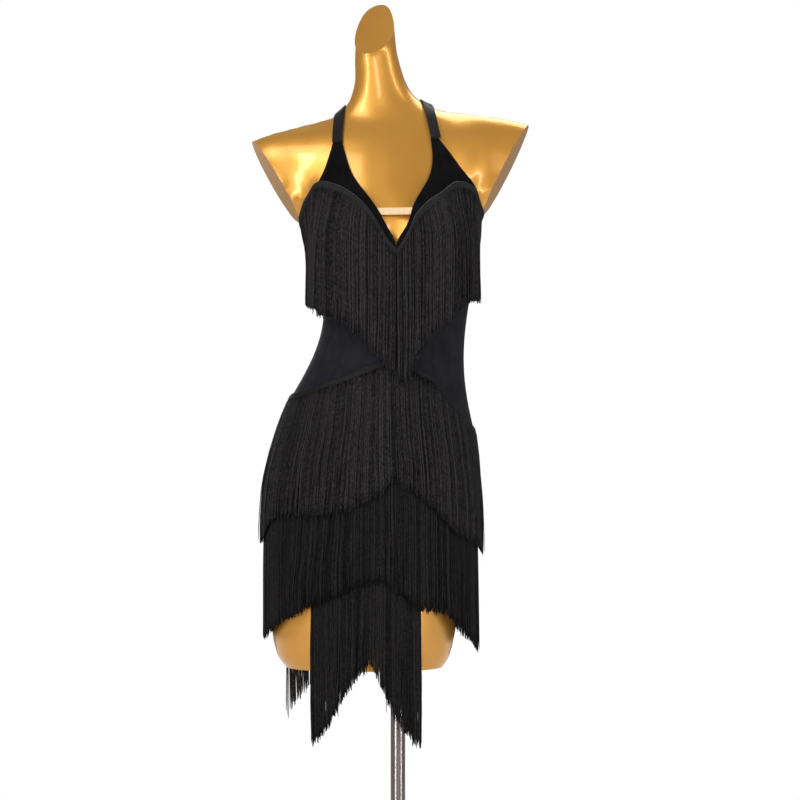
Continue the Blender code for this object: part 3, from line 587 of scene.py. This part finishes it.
def build_torso():
    """Make the lacquered torso from its solid."""
    torso = welded_copy("form_body", "torso")
    select_only(torso)
    bpy.ops.object.mode_set(mode="EDIT")
    bpy.ops.mesh.select_mode(type="FACE")
    for point, facing, _, _ in CUTS:
        point, facing = Vector(point), Vector(facing).normalized()
        select_faces(torso, lambda centre, normal: (
            normal.dot(facing) > 0.995 and abs((centre - point).dot(facing)) < SAME_PLANE))
        bpy.ops.mesh.extrude_region_move(TRANSFORM_OT_translate={"value": facing * DRAWN_OUT})
    bpy.ops.object.mode_set(mode="OBJECT")
    torso.data.remesh_voxel_size = REMESH_SIZE
    torso.data.use_remesh_preserve_volume = False
    bpy.ops.object.voxel_remesh()
    for _ in range(SMOOTH_TURNS):
        for factor in SMOOTH_IN_AND_OUT:
            smooth = torso.modifiers.new("smoothing", "SMOOTH")
            smooth.factor = factor
    subdivided(torso, 1)
    select_only(torso)
    bpy.ops.object.mode_set(mode="EDIT")
    for point, facing, reach, lowest in CUTS:
        select_faces(torso, lambda centre, normal: (
            (centre - Vector(point)).length < reach and centre.z > lowest))
        bpy.ops.mesh.bisect(
            plane_co=point, plane_no=Vector(facing).normalized(),
            use_fill=True, clear_outer=True, threshold=SAME_POINT)
    bpy.ops.object.mode_set(mode="OBJECT")
    torso.data.shade_smooth()
    torso.data.set_sharp_from_angle(angle=math.radians(30))
    finish_piece(torso, "gold_lacquer", "form_body")


build_torso()

# %% [markdown]
# ## Pole and foot plate
#
# The stand is a steel tube in the collar of a round plate.  Both are turned shapes,
# so a cylinder is added at its size, and its rims are bevelled.  The collar is raised
# from the plate by an inset and an extrusion.

# %% Pole and foot plate
PLATE_TOP = 0.006
COLLAR_RADIUS = 0.022


def added_cylinder(name, radius, low, high, vertices):
    """Add a cylinder between two heights, and enter edit mode with nothing selected."""
    deselect()
    bpy.ops.mesh.primitive_cylinder_add(
        vertices=vertices, radius=radius, depth=high - low, location=(0, 0, (low + high) / 2))
    item = bpy.context.object
    item.name = item.data.name = name
    bpy.ops.object.transform_apply(location=True, rotation=True, scale=True)
    bpy.ops.object.mode_set(mode="EDIT")
    bpy.ops.mesh.select_mode(type="FACE")
    bpy.ops.mesh.select_all(action="DESELECT")
    return item


def bevelled(item, width):
    """Leave edit mode and soften the sharp rims of a turned piece."""
    bpy.ops.object.mode_set(mode="OBJECT")
    rims = item.modifiers.new("rims", "BEVEL")
    rims.width = width
    rims.segments = 3
    rims.angle_limit = math.radians(40)
    apply_modifiers(item)
    bpy.ops.object.shade_smooth_by_angle(angle=math.radians(35))


def build_stand():
    """Make the pole and the foot plate from the boxes of their solids."""
    pole_low, pole_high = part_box("form_pole")
    base_low, base_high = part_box("form_base")
    pole = added_cylinder("pole", pole_high.x, pole_low.z, pole_high.z, 64)
    bevelled(pole, 0.0008)
    finish_piece(pole, "brushed_steel", "form_pole")

    plate = added_cylinder("foot_plate", base_high.x, base_low.z, PLATE_TOP, 96)
    select_faces(plate, lambda centre, normal: normal.z > 0.9)
    bpy.ops.mesh.inset(thickness=base_high.x - COLLAR_RADIUS, depth=0.0)
    bpy.ops.mesh.extrude_region_move(TRANSFORM_OT_translate={"value": (0, 0, base_high.z - PLATE_TOP)})
    bevelled(plate, 0.0015)
    finish_piece(plate, "plate_steel", "form_base")


build_stand()

# %% [markdown]
# ## Panels
#
# The leotard and the skirt are cut from stretch knit and pulled smooth over the body.
# A panel starts as the outer face of its solid, subdivided until it is smooth.  Then
# it gets its few creases, each a soft ridge or trough between two points, and its
# thickness last, inwards, so that the outside keeps its place.

# %% The outer face of a solid
PANEL_THICKNESS = 0.0011
FOLD_ANGLE = math.radians(50)       # a sharper fold ends the outer face
SHEET_LEVELS = 2


def outer_sheet(solid, name, centre):
    """Return the outer face of a wall as an open, subdivided sheet."""
    item = welded_copy(solid, name)
    bm = bmesh.new()
    bm.from_mesh(item.data)
    bm.faces.ensure_lookup_table()

    def facing(face):
        outward = face.calc_center_median() - Vector(centre(face.calc_center_median()))
        return face.normal.dot(outward.normalized()) * math.sqrt(face.calc_area())

    start = max(bm.faces, key=facing)
    kept, front = {start}, [start]
    while front:
        face = front.pop()
        for edge in face.edges:
            for other in edge.link_faces:
                if other not in kept and face.normal.angle(other.normal) < FOLD_ANGLE:
                    kept.add(other)
                    front.append(other)
    bmesh.ops.delete(bm, geom=[face for face in bm.faces if face not in kept], context="FACES")
    bm.to_mesh(item.data)
    bm.free()
    return subdivided(item, SHEET_LEVELS)


def axis_point(point):
    """Return the point of the upright line at a point's height."""
    return (AXIS_X, 0.0, point.z)


SHOULDER_PIVOT = (0.018, 1.335)     # y and z


def shoulder_pivot(point):
    """Return the point inside the shoulder that a strap bends round, level with a point."""
    return (point.x, *SHOULDER_PIVOT)


# %% Creases
# the turn and height of both ends, then the half width and the rise in millimetres
CREASE_COLUMNS = ("turn", "height", "to_turn", "to_height", "half_width", "rise")
CREASE_BOW = 0.012      # how far its middle hangs below the straight line between its ends
CREASES = {
    "midriff_front": (
        (-84, 1.172, -38, 1.158, 5.0, 0.7),
        (-80, 1.150, -30, 1.128, 4.0, -0.5),
        (-66, 1.186, -22, 1.176, 4.5, 0.6),
        (78, 1.120, 34, 1.150, 5.0, 0.7),
        (84, 1.092, 44, 1.118, 4.5, -0.6),
        (74, 1.160, 40, 1.176, 4.0, 0.5),
        (-72, 1.092, -40, 1.104, 4.5, 0.5),
    ),
    "bodice_front_left": (
        (-50, 1.418, -48, 1.378, 3.0, 0.5),
        (-53, 1.410, -38, 1.366, 3.0, -0.4),
        (-44, 1.390, -28, 1.352, 3.5, 0.4),
        (-30, 1.366, -12, 1.330, 3.0, 0.35),
    ),
    "bodice_front_right": (
        (55, 1.422, 52, 1.380, 3.0, 0.5),
        (52, 1.408, 40, 1.366, 3.0, -0.4),
        (60, 1.396, 66, 1.366, 3.0, 0.4),
        (42, 1.366, 28, 1.330, 3.0, 0.35),
    ),
    "bodice_back": (
        (100, 1.170, 150, 1.150, 5.0, 0.8),
        (104, 1.146, 160, 1.122, 5.0, -0.6),
        (262, 1.176, 206, 1.156, 5.0, 0.8),
        (256, 1.140, 200, 1.118, 4.5, -0.6),
        (170, 1.262, 190, 1.210, 6.0, 0.6),
        (222, 1.250, 236, 1.190, 5.0, 0.5),
    ),
    "skirt_front": (
        (-40, 1.000, -20, 0.830, 7.0, 0.8),
        (34, 0.980, 26, 0.820, 7.0, 0.8),
    ),
    "skirt_back": (
        (150, 0.980, 156, 0.820, 8.0, 0.9),
        (214, 0.990, 206, 0.820, 8.0, 0.9),
    ),
}


def creased(item, rows, back):
    """Raise soft ridges and press soft troughs into a sheet, along its normals."""
    mesh = item.data
    count = len(mesh.vertices)
    points = np.empty(count * 3)
    normals = np.empty(count * 3)
    mesh.vertices.foreach_get("co", points)
    mesh.vertex_normals.foreach_get("vector", normals)
    points, normals = points.reshape(-1, 3), normals.reshape(-1, 3)
    radius = reach_of(points)
    across, up = np.radians(turn_of(points, back)) * radius, points[:, 2]
    rise = np.zeros(count)
    for row in rows:
        crease = dict(zip(CREASE_COLUMNS, row))
        start = np.stack((np.radians(crease["turn"]) * radius, np.full(count, crease["height"])), 1)
        end = np.stack((np.radians(crease["to_turn"]) * radius, np.full(count, crease["to_height"])), 1)
        run = end - start
        share = ((across - start[:, 0]) * run[:, 0] + (up - start[:, 1]) * run[:, 1]) / (run ** 2).sum(1)
        inside = np.clip(share, 0.0, 1.0)
        bow = CREASE_BOW * np.sin(math.pi * inside)
        beside = across - start[:, 0] - run[:, 0] * inside
        above = up - start[:, 1] - run[:, 1] * inside + bow
        away = np.hypot(beside, above)
        taper = np.sin(math.pi * np.clip(inside * 0.86 + 0.07, 0.0, 1.0))
        rise += crease["rise"] / 1000 * taper * np.exp(-((away * 1000 / crease["half_width"]) ** 2))
    mesh.vertices.foreach_set("co", (points + normals * rise[:, None]).ravel())
    mesh.update()
    return item


# %% Cloth coordinates and thickness
def unrolled(item, back):
    """Give a sheet cloth coordinates in metres: round the body, and up."""
    mesh = item.data
    points = np.array([vert.co for vert in mesh.vertices])
    across = np.radians(turn_of(points, back)) * reach_of(points).mean()
    corners = np.empty(len(mesh.loops), np.int32)
    mesh.loops.foreach_get("vertex_index", corners)
    layer = mesh.uv_layers.new(name="cloth")
    layer.data.foreach_set("uv", np.stack((across, points[:, 2]), 1)[corners].astype(np.float32).ravel())
    return item


def area_of(sheet):
    """Return the area of an open sheet, in square metres."""
    return round(sum(face.area for face in sheet.data.polygons), 5)


def thickened(item):
    """Give a sheet its thickness, inwards."""
    wall = item.modifiers.new("thickness", "SOLIDIFY")
    wall.thickness = PANEL_THICKNESS
    wall.offset = -1.0
    wall.use_even_offset = True
    apply_modifiers(item)
    item.data.shade_smooth()
    item.data.set_sharp_from_angle(angle=math.radians(60))
    return item


# %% Cut the panels
# solid, piece, finish, flat width and length in metres, flat area, on the back
PANEL_COLUMNS = ("solid", "piece", "finish", "flat", "area", "back")
PANELS = (
    ("bodice_front_left", "front_left", "black_knit", (0.215, 0.250), 0.0270, False),
    ("bodice_front_right", "front_right", "black_knit", (0.190, 0.250), 0.0265, False),
    ("midriff_front", "midriff", "midriff_knit", (0.300, 0.175), 0.0350, False),
    ("bodice_back", "back", "midriff_knit", (0.310, 0.275), 0.0640, True),
    ("skirt_front", "skirt_front_panel", "black_knit", (0.400, 0.335), 0.1180, False),
    ("skirt_back", "skirt_back_panel", "black_knit", (0.430, 0.310), 0.1190, True),
)
for row in PANELS:
    panel = dict(zip(PANEL_COLUMNS, row))
    sheet = outer_sheet(panel["solid"], panel["piece"], axis_point)
    creased(sheet, CREASES[panel["solid"]], panel["back"])
    unrolled(sheet, panel["back"])
    print(panel["piece"], "measures", area_of(sheet), "square metres")
    thickened(sheet)
    finish_piece(sheet, panel["finish"], panel["solid"])

# %% [markdown]
# ## Straps and the nude bar
#
# Two satin elastic straps run from the points of the halter over the shoulders to
# the low back.  A narrow skin-coloured bar holds the open neckline together.  They
# are short flat bands, so they are made as panels are, from the outer face.

# %% Straps and the nude bar
# solid, piece, finish, what it bends round, flat width and length in metres
BANDS = (
    ("strap_left", "halter_strap_left", "black_elastic", shoulder_pivot, (0.0145, 0.340)),
    ("strap_right", "halter_strap_right", "black_elastic", shoulder_pivot, (0.0145, 0.320)),
    ("nude_bar", "neckline_bar", "nude_band", axis_point, (0.010, 0.048)),
)
for solid, piece, finish, centre, flat in BANDS:
    band = outer_sheet(solid, piece, centre)
    unrolled(band, False)
    print(piece, "measures", area_of(band), "square metres")
    thickened(band)
    finish_piece(band, finish, solid)

# %% [markdown]
# ## Folded tapes
#
# Every fringe is woven to a tape, and the tape is folded over and stitched down with
# the raw edge inside.  From the front it is a narrow raised band with a painted highlight
# along the fold on top, and one line of stitches.  Its section is swept along the solid's
# own columns.  The bust tapes take the lighter finish, and those lower down a darker
# copy, nearly black, as painted shade.

# %% The tape's section and its line of stitches
TAPE_STEP = 0.0022
TAPE_WIDTH_PER_SIDE = 0.0018
# outward and upward share of the folded tape, anticlockwise from its lower inner edge
TAPE_SECTION = (
    (0.05, 0.00), (0.72, 0.00), (0.92, 0.07), (0.80, 0.22), (0.94, 0.38), (1.00, 0.62),
    (0.95, 0.86), (0.70, 0.98), (0.35, 1.00), (0.05, 0.93), (0.0, 0.5),
)
STITCH_OUT, STITCH_UP = 0.86, 0.22      # its place in the section
STITCH_LENGTH, STITCH_PITCH, STITCH_RADIUS, STITCH_MARGIN = 0.0021, 0.0031, 0.00028, 0.002


def tape_path(solid, back):
    """Return the tape's turns and lengths at even steps, with the heights and distances there."""
    turns, heights, inner, outer = columns_of(solid, back, TAPE_ROWS)
    fine = np.linspace(turns[0], turns[-1], 1200)
    low = place(fine, between(turns, outer, fine)[:, 0], between(turns, heights, fine)[:, 0])
    lengths = np.concatenate(([0.0], np.cumsum(np.linalg.norm(np.diff(low, axis=0), axis=1))))
    along = np.linspace(0.0, lengths[-1], int(lengths[-1] / TAPE_STEP) + 1)
    turn = np.interp(along, lengths, fine)
    return turn, along, *(between(turns, table, turn) for table in (heights, inner, outer))


def tube_quads(rings, sides):
    """Return the quads that join rings of points into a tube."""
    ring, side = np.meshgrid(np.arange(rings - 1), np.arange(sides), indexing="ij")
    this, after = ring * sides + side, ring * sides + (side + 1) % sides
    return np.stack((this, after, after + sides, this + sides), -1).reshape(-1, 4)


def point_on_tape(path, out, up):
    """Return the points at an outward and an upward share of the tape, all along it."""
    turn, _, heights, inner, outer = path
    height = heights[:, 0] + (heights[:, 1] - heights[:, 0]) * up
    low = inner[:, 0] + (outer[:, 0] - inner[:, 0]) * out
    high = inner[:, 1] + (outer[:, 1] - inner[:, 1]) * out
    return place(turn, low + (high - low) * up, height)


def folded_band(name, path, wander):
    """Sweep the tape's section along its path."""
    sides = len(TAPE_SECTION)
    along = path[1]
    rings = []
    for out, up in TAPE_SECTION:
        uneven = 1 + 0.03 * np.sin(along * 190 + up * 3 + wander) + 0.02 * np.sin(along * 73 + 2 * wander)
        rings.append(point_on_tape(path, out * uneven, up))
    points = np.stack(rings, axis=1).reshape(-1, 3)
    quads = tube_quads(len(along), sides)
    left = TAPE_WIDTH_PER_SIDE * np.tile(np.arange(sides), len(along) - 1)
    right = left + TAPE_WIDTH_PER_SIDE
    start, end = np.repeat(along[:-1], sides), np.repeat(along[1:], sides)
    corners = np.stack([np.stack(corner, 1) for corner in (
        (left, start), (right, start), (right, end), (left, end))], 1)
    fold = np.tile(np.array([max(0.0, 1 - abs(up - 0.97) * 6) for _, up in TAPE_SECTION]), len(along))
    item = mesh_from(name, points, quads, corners, {"fold": fold})
    bm = bmesh.new()
    bm.from_mesh(item.data)
    bmesh.ops.holes_fill(bm, edges=[edge for edge in bm.edges if edge.is_boundary])
    bmesh.ops.recalc_face_normals(bm, faces=bm.faces)
    bm.to_mesh(item.data)
    bm.free()
    item.data.shade_smooth()
    item.data.set_sharp_from_angle(angle=math.radians(65))
    return item


# %% Small tubes along paths
TUBE_SIDES = 4


def tubes(paths, radii, numbers, lengthwise):
    """Return points, quads, coordinates and numbers of many closed four-sided tubes."""
    count, rings, _ = paths.shape
    direction = np.gradient(paths, axis=1)
    direction /= np.linalg.norm(direction, axis=2, keepdims=True)
    outward = paths - np.array((AXIS_X, 0.0, 0.0))
    outward[:, :, 2] = 0.0
    outward -= direction * (outward * direction).sum(2, keepdims=True)
    outward /= np.linalg.norm(outward, axis=2, keepdims=True)
    aside = np.cross(direction, outward)
    angle = FULL_TURN * (np.arange(TUBE_SIDES) + 0.5) / TUBE_SIDES
    ring = np.cos(angle)[:, None] * outward[:, :, None, :] + np.sin(angle)[:, None] * aside[:, :, None, :]
    points = paths[:, :, None, :] + ring * radii[:, :, None, None]
    quads = tube_quads(rings, TUBE_SIDES)
    per_tube = rings * TUBE_SIDES
    start = np.arange(count)[:, None] * per_tube
    body = (quads[None] + start[:, :, None]).reshape(-1, 4)
    cap = np.arange(TUBE_SIDES)
    first = start + cap[::-1]
    last = start + per_tube - TUBE_SIDES + cap
    all_quads = np.concatenate((body, first, last))
    around = np.stack([cap, cap + 1, cap + 1, cap], 1) / TUBE_SIDES
    v = lengthwise[:, quads.reshape(-1) // TUBE_SIDES].reshape(count, -1, 4)
    u = np.broadcast_to(np.tile(around, (rings - 1, 1)), v.shape)
    body_uv = np.stack((u, v), -1).reshape(-1, 2)
    cap_uv = np.zeros((len(first) * 2 * 4, 2))
    repeated = {key: np.repeat(values, per_tube) for key, values in numbers.items()}
    return points.reshape(-1, 3), all_quads, np.concatenate((body_uv, cap_uv)), repeated


def outward_facing(item):
    """Turn a closed mesh's faces outwards if its volume says that they point in."""
    bm = bmesh.new()
    bm.from_mesh(item.data)
    inside_out = bm.calc_volume(signed=True) < 0
    bm.free()
    if inside_out:
        item.data.flip_normals()
    return item


def stitch_line(name, path):
    """Lay short stitches end to end along the tape."""
    along = path[1]
    lie = point_on_tape(path, STITCH_OUT, STITCH_UP)
    count = int((along[-1] - 2 * STITCH_MARGIN) / STITCH_PITCH)
    middles = STITCH_MARGIN + STITCH_PITCH * (np.arange(count) + 0.5)
    offsets = np.array((-0.5, -0.28, 0.28, 0.5)) * STITCH_LENGTH
    where = middles[:, None] + offsets[None]
    paths = np.stack([np.interp(where, along, lie[:, k]) for k in range(3)], -1)
    radii = np.tile(np.array((0.35, 1.0, 1.0, 0.35)) * STITCH_RADIUS, (count, 1))
    numbers = {"strand": 0.5 + 0.3 * np.sin(np.arange(count) * 2.4)}
    points, quads, corners, numbers = tubes(paths, radii, numbers, where)
    return outward_facing(mesh_from(name, points, quads, corners, numbers))


# %% Seams between the straps and the yokes
# both ends of each seam, where the strap is let into the top of the yoke
STRAP_SEAMS = {
    "strap_seam_left": ((-0.0945, -0.0490, 1.4241), (-0.0785, -0.0522, 1.4241)),
    "strap_seam_right": ((0.0474, -0.0557, 1.4295), (0.0622, -0.0536, 1.4295)),
}
SEAM_RADIUS, SEAM_LENGTH = 0.0010, 0.016


def strap_seam(name, start, end):
    """Make the narrow covered seam across the end of a strap."""
    path = np.linspace(start, end, 5)[None]
    radii = SEAM_RADIUS * np.array([[0.6, 1.0, 1.1, 1.0, 0.6]])
    numbers = {"strand": np.array([0.2]), "fold": np.array([0.2])}
    down = np.linspace(0.0, SEAM_LENGTH, 5)[None]
    points, quads, corners, numbers = tubes(path, radii, numbers, down)
    return outward_facing(mesh_from(name, points, quads, corners, numbers))


# %% The tape's loose end
# The left bust tape is turned back at the side seam, and its stiff end stands away.
TAIL_PATH = (
    (-0.1325, -0.018, 1.2735), (-0.1345, -0.020, 1.2810),
    (-0.1378, -0.022, 1.2930), (-0.1400, -0.024, 1.3040))
TAIL_WIDTH, TAIL_THICKNESS = 0.0070, 0.0013


def tape_tail(name):
    """Make the short stiff end of tape from a path up the side seam."""
    path = np.array(TAIL_PATH)
    out, back = np.array((-0.5 * TAIL_THICKNESS, 0, 0)), np.array((0, 0.5 * TAIL_WIDTH, 0))
    around = ((1, -1), (1, 1), (-1, 1), (-1, -1))
    rings = np.stack([path + side * out + way * back for side, way in around], 1)
    quads = np.concatenate((tube_quads(len(path), 4), [[3, 2, 1, 0]], [[12, 13, 14, 15]]))
    corners = np.zeros((quads.size, 2))
    # a fold share of 0.7 gives the whole end a faint part of the tape's painted fold highlight
    item = outward_facing(mesh_from(name, rings.reshape(-1, 3), quads, corners, {"fold": np.full(16, 0.7)}))
    item.data.set_sharp_from_angle(angle=math.radians(50))
    return item


# %% Make the tapes
TIERS = (
    "bust_left", "bust_right", "hip_front", "hip_back",
    "thigh_front", "thigh_back", "point_front", "point_back")
tapes, stitches = {}, {}
for number, tier in enumerate(TIERS):
    path = tape_path(tier + "_tape", tier.endswith("back"))
    # the lower tapes take the darker copy of the tape finish: painted shade
    finish = "black_tape" if tier.startswith("bust") else "shaded_tape"
    tapes[tier] = finish_piece(
        folded_band(tier + "_band", path, number * 1.7), finish, tier + "_tape")
    stitches[tier] = finish_piece(stitch_line(tier + "_stitches", path), "grey_fringe")
for name, ends in STRAP_SEAMS.items():
    finish_piece(strap_seam(name, *ends), "black_tape")
finish_piece(tape_tail("bust_left_tape_end"), "black_tape")

# %% [markdown]
# ## Fringe
#
# Fringe is chainette yarn, cut long and looped into the tape, about two layers deep.
# Strands are never evenly spread: static and handling draw them into clumps, and a
# few hang loose.  Each strand is a four-sided tube.  It leaves its tape square on,
# drifts towards the middle of its clump on the way down, and ends near the hem, some a
# little longer or shorter.  All strands of a tier are one mesh.

# %% Where the strands start and how they gather
STRAND_RINGS = 12
SPACING_SCATTER, CLUMP_SCATTER = 0.35, 0.30     # shares of the even spacing
END_MARGIN, OVER_END = 0.0008, 0.0012           # how far strands stay in from the ends, or may drift out
LOOSE_SHARE, LOOSE_DRIFT, LOOSE_LIFT = 0.018, 0.0045, 0.0022


def gathered(random, strands, clumps, gather, total):
    """Return each strand's start, clump, drift and depth, and how it lies in its clump."""
    start = (np.arange(strands) + 0.5) / strands * total
    start = start + random.normal(0.0, SPACING_SCATTER * total / strands, strands)
    start = np.clip(start, END_MARGIN, total - END_MARGIN)
    scatter = random.uniform(-CLUMP_SCATTER, CLUMP_SCATTER, clumps)
    centres = (np.arange(clumps) + 0.5 + scatter) / clumps * total
    clump = np.abs(start[:, None] - centres[None]).argmin(1)
    pull = gather * random.uniform(0.35, 1.0, clumps)[clump] * random.uniform(0.6, 1.1, strands)
    drift = (centres[clump] - start) * pull
    central = 1 - np.clip(np.abs(start - centres[clump]) * 1.8 * clumps / total, 0.0, 1.0)
    layer = random.uniform(0.0, 1.0, clumps)[clump]
    depth = 0.25 * random.uniform(0.0, 1.0, strands) + 0.30 * layer + 0.45 * central
    loose = random.uniform(0.0, 1.0, strands) < LOOSE_SHARE
    drift = np.where(loose, random.normal(0.0, LOOSE_DRIFT, strands), drift)
    return start, clump, drift, depth, central, layer, loose


# %% How the strands hang
TOP_UNDER_TAPE = 0.0006                     # how far a strand starts up under its tape
FULL_FALL, MOST_FALL = 0.16, 1.3            # the length over which clumps close, and its largest multiple
LATE_DRIFT = 1.25                           # above 1, clumps close late on the way down
SWAY, SLOW_SWAY = 0.00055, 0.0011           # of one strand, and of neighbours together
SLOW_WAVES, SLOW_TURN = 47.0, 2.6           # radians a metre along the tape, and over a full fall
LONG_SHARE, LONGER_BY, LONGEST, SHORTEST = 0.05, 2.2, 3.2, 4.0      # the last three in raggedness


def wall_at(columns, turn, level):
    """Return a wall's inner and outer distances at turns and heights."""
    turns, heights, inner, outer = columns
    z, near, far = (between(turns, table, turn) for table in (heights, inner, outer))
    step = np.clip((level[:, None] >= z).sum(1) - 1, 0, z.shape[1] - 2)
    row = np.arange(len(step))
    share = np.clip((level - z[row, step]) / np.maximum(z[row, step + 1] - z[row, step], 1e-6), 0.0, 1.0)
    return [table[row, step] * (1 - share) + table[row, step + 1] * share for table in (near, far)]


def hang(tier, strands, clumps, gather, ragged, seed):
    """Return the paths of a tier's strands, from tape to hem, their grey (partly painted shade) and the way
    down.
    """
    random = np.random.default_rng(seed)
    columns = columns_of(tier + "_fringe", tier.endswith("back"), FRINGE_ROWS)
    turns, heights, _, outer = columns
    fine = np.linspace(turns[0], turns[-1], 400)
    middle = between(turns, outer, fine)[:, FRINGE_ROWS // 2]
    lengths = np.concatenate(([0.0], np.cumsum(np.radians(np.diff(fine)) * middle[1:])))
    total = lengths[-1]
    start, clump, drift, depth, central, layer, loose = gathered(random, strands, clumps, gather, total)

    ends = between(turns, heights, np.interp(start, lengths, fine))
    top, hem = ends[:, -1], ends[:, 0]
    cut = random.normal(0.0, ragged, strands)
    cut = cut + np.where(random.uniform(0, 1, strands) < LONG_SHARE, -LONGER_BY * ragged, 0.0)
    clump_cut = random.normal(0.0, 0.8 * ragged, clumps)[clump]
    end = hem + np.clip(cut + clump_cut, -LONGEST * ragged, SHORTEST * ragged)
    share = np.linspace(0.0, 1.0, STRAND_RINGS)
    z = (top + TOP_UNDER_TAPE)[:, None] + (end - top - TOP_UNDER_TAPE)[:, None] * share[None]

    fall = np.clip((top[:, None] - z) / FULL_FALL, 0.0, MOST_FALL)
    whole = np.minimum(fall, 1.0)
    phase = random.uniform(0, FULL_TURN, strands)[:, None]
    waves = random.uniform(0.7, 2.2, strands)[:, None]
    sway = SWAY * whole * np.sin(phase + waves * FULL_TURN * fall)
    slow = SLOW_SWAY * whole * np.sin(start[:, None] * SLOW_WAVES + seed + SLOW_TURN * fall)
    moved = start[:, None] + drift[:, None] * fall ** LATE_DRIFT + sway + slow
    turn = np.interp(np.clip(moved, -OVER_END, total + OVER_END), lengths, fine).ravel()

    near, far = wall_at(columns, turn, z.ravel())
    deep = np.repeat(depth, STRAND_RINGS) * (0.35 + 1.3 * whole.ravel()).clip(0.0, 1.0)
    lift = np.where(np.repeat(loose, STRAND_RINGS), LOOSE_LIFT * np.minimum(fall, 1.2).ravel(), 0.0)
    reach = near + (far - near) * (0.12 + 0.95 * deep) + lift
    paths = place(turn, reach, z.ravel()).reshape(strands, STRAND_RINGS, 3)
    # each strand's grey: a random part of its own, plus painted shade that darkens the inner layer and the
    # edges of each clump
    tone_and_shade = 0.25 * random.uniform(0.0, 1.0, strands) + 0.25 * layer + 0.50 * central
    return paths, tone_and_shade, z[:, :1] - z


# %% The strands of a tier as a mesh
STRAND_RADIUS = 0.00078
TIP_SHARE = 0.55


def build_fringe(tier, strands, clumps, gather, ragged, seed, finish):
    """Make all the strands of a tier as one mesh."""
    paths, tone_and_shade, down = hang(tier, strands, clumps, gather, ragged, seed)
    radii = np.full(down.shape, STRAND_RADIUS) * (0.88 + 0.24 * tone_and_shade)[:, None]
    radii[:, -1] *= TIP_SHARE
    points, quads, corners, numbers = tubes(paths, radii, {"strand": tone_and_shade}, down)
    item = outward_facing(mesh_from(tier + "_strands", points, quads, corners, numbers))
    return finish_piece(item, finish, tier + "_fringe")


# %% Hang the fringe
# strands, clumps, pull to the clump's middle, raggedness of the hem in metres, seed, finish
FRINGE = {
    "bust_left": (560, 88, 0.36, 0.0016, 11, "black_fringe"),
    "bust_right": (520, 82, 0.36, 0.0016, 12, "black_fringe"),
    "hip_front": (1050, 160, 0.34, 0.0016, 13, "black_fringe"),
    "hip_back": (950, 150, 0.36, 0.0018, 14, "black_fringe"),
    # the lower tiers take the darker copy of the fringe: painted shade
    "thigh_front": (1050, 155, 0.38, 0.0019, 15, "shaded_fringe"),
    "thigh_back": (950, 145, 0.38, 0.0020, 16, "shaded_fringe"),
    "point_front": (500, 92, 0.50, 0.0027, 17, "shaded_fringe"),
    "point_back": (210, 66, 0.40, 0.0032, 18, "grey_fringe"),
}
fringes = {tier: build_fringe(tier, *row) for tier, row in FRINGE.items()}

# %% [markdown]
# ## The panel rows, read again
#
# A pattern cutter thinks in flat sizes.  The panel rows, which hold the flat width and
# length each panel was cut to, are read once more here, and nothing more is done with them.


for row in PANELS:
    panel = dict(zip(PANEL_COLUMNS, row))

# %% [markdown]
# ## Floor
#
# A plain pale floor gives the stand something to stand on.

# %% Floor
FLOOR_SIZE = 6.0


def build_floor():
    """Lay a pale floor that fades to white before its edges."""
    deselect()
    bpy.ops.mesh.primitive_plane_add(size=FLOOR_SIZE, location=(0.0, 0.0, 0.0))
    floor = bpy.context.object
    floor.name = floor.data.name = "floor"
    finish = Finish("pale_floor")
    place = finish.place()
    cloud = finish.noise(place, 1.3, 3.0)
    finish.feed(Base_Color=finish.blend(cloud, (0.86, 0.855, 0.85), (0.90, 0.895, 0.89)), Roughness=0.65)
    away = finish.node("ShaderNodeVectorMath", {"operation": "LENGTH"}, {0: place}, 1)
    fade = finish.range(away, 0.5, FLOOR_SIZE / 2, 0.0, 1.0)
    white = finish.node("ShaderNodeEmission", {}, {"Color": PURE_WHITE, "Strength": BACKDROP_WHITE})
    mixed = finish.node("ShaderNodeMixShader", {}, {0: fade, 1: finish.shader.outputs[0], 2: white})
    finish.tree.links.new(mixed.socket, finish.tree.nodes["Material Output"].inputs["Surface"])
    floor.data.materials.append(finish.material)


build_floor()
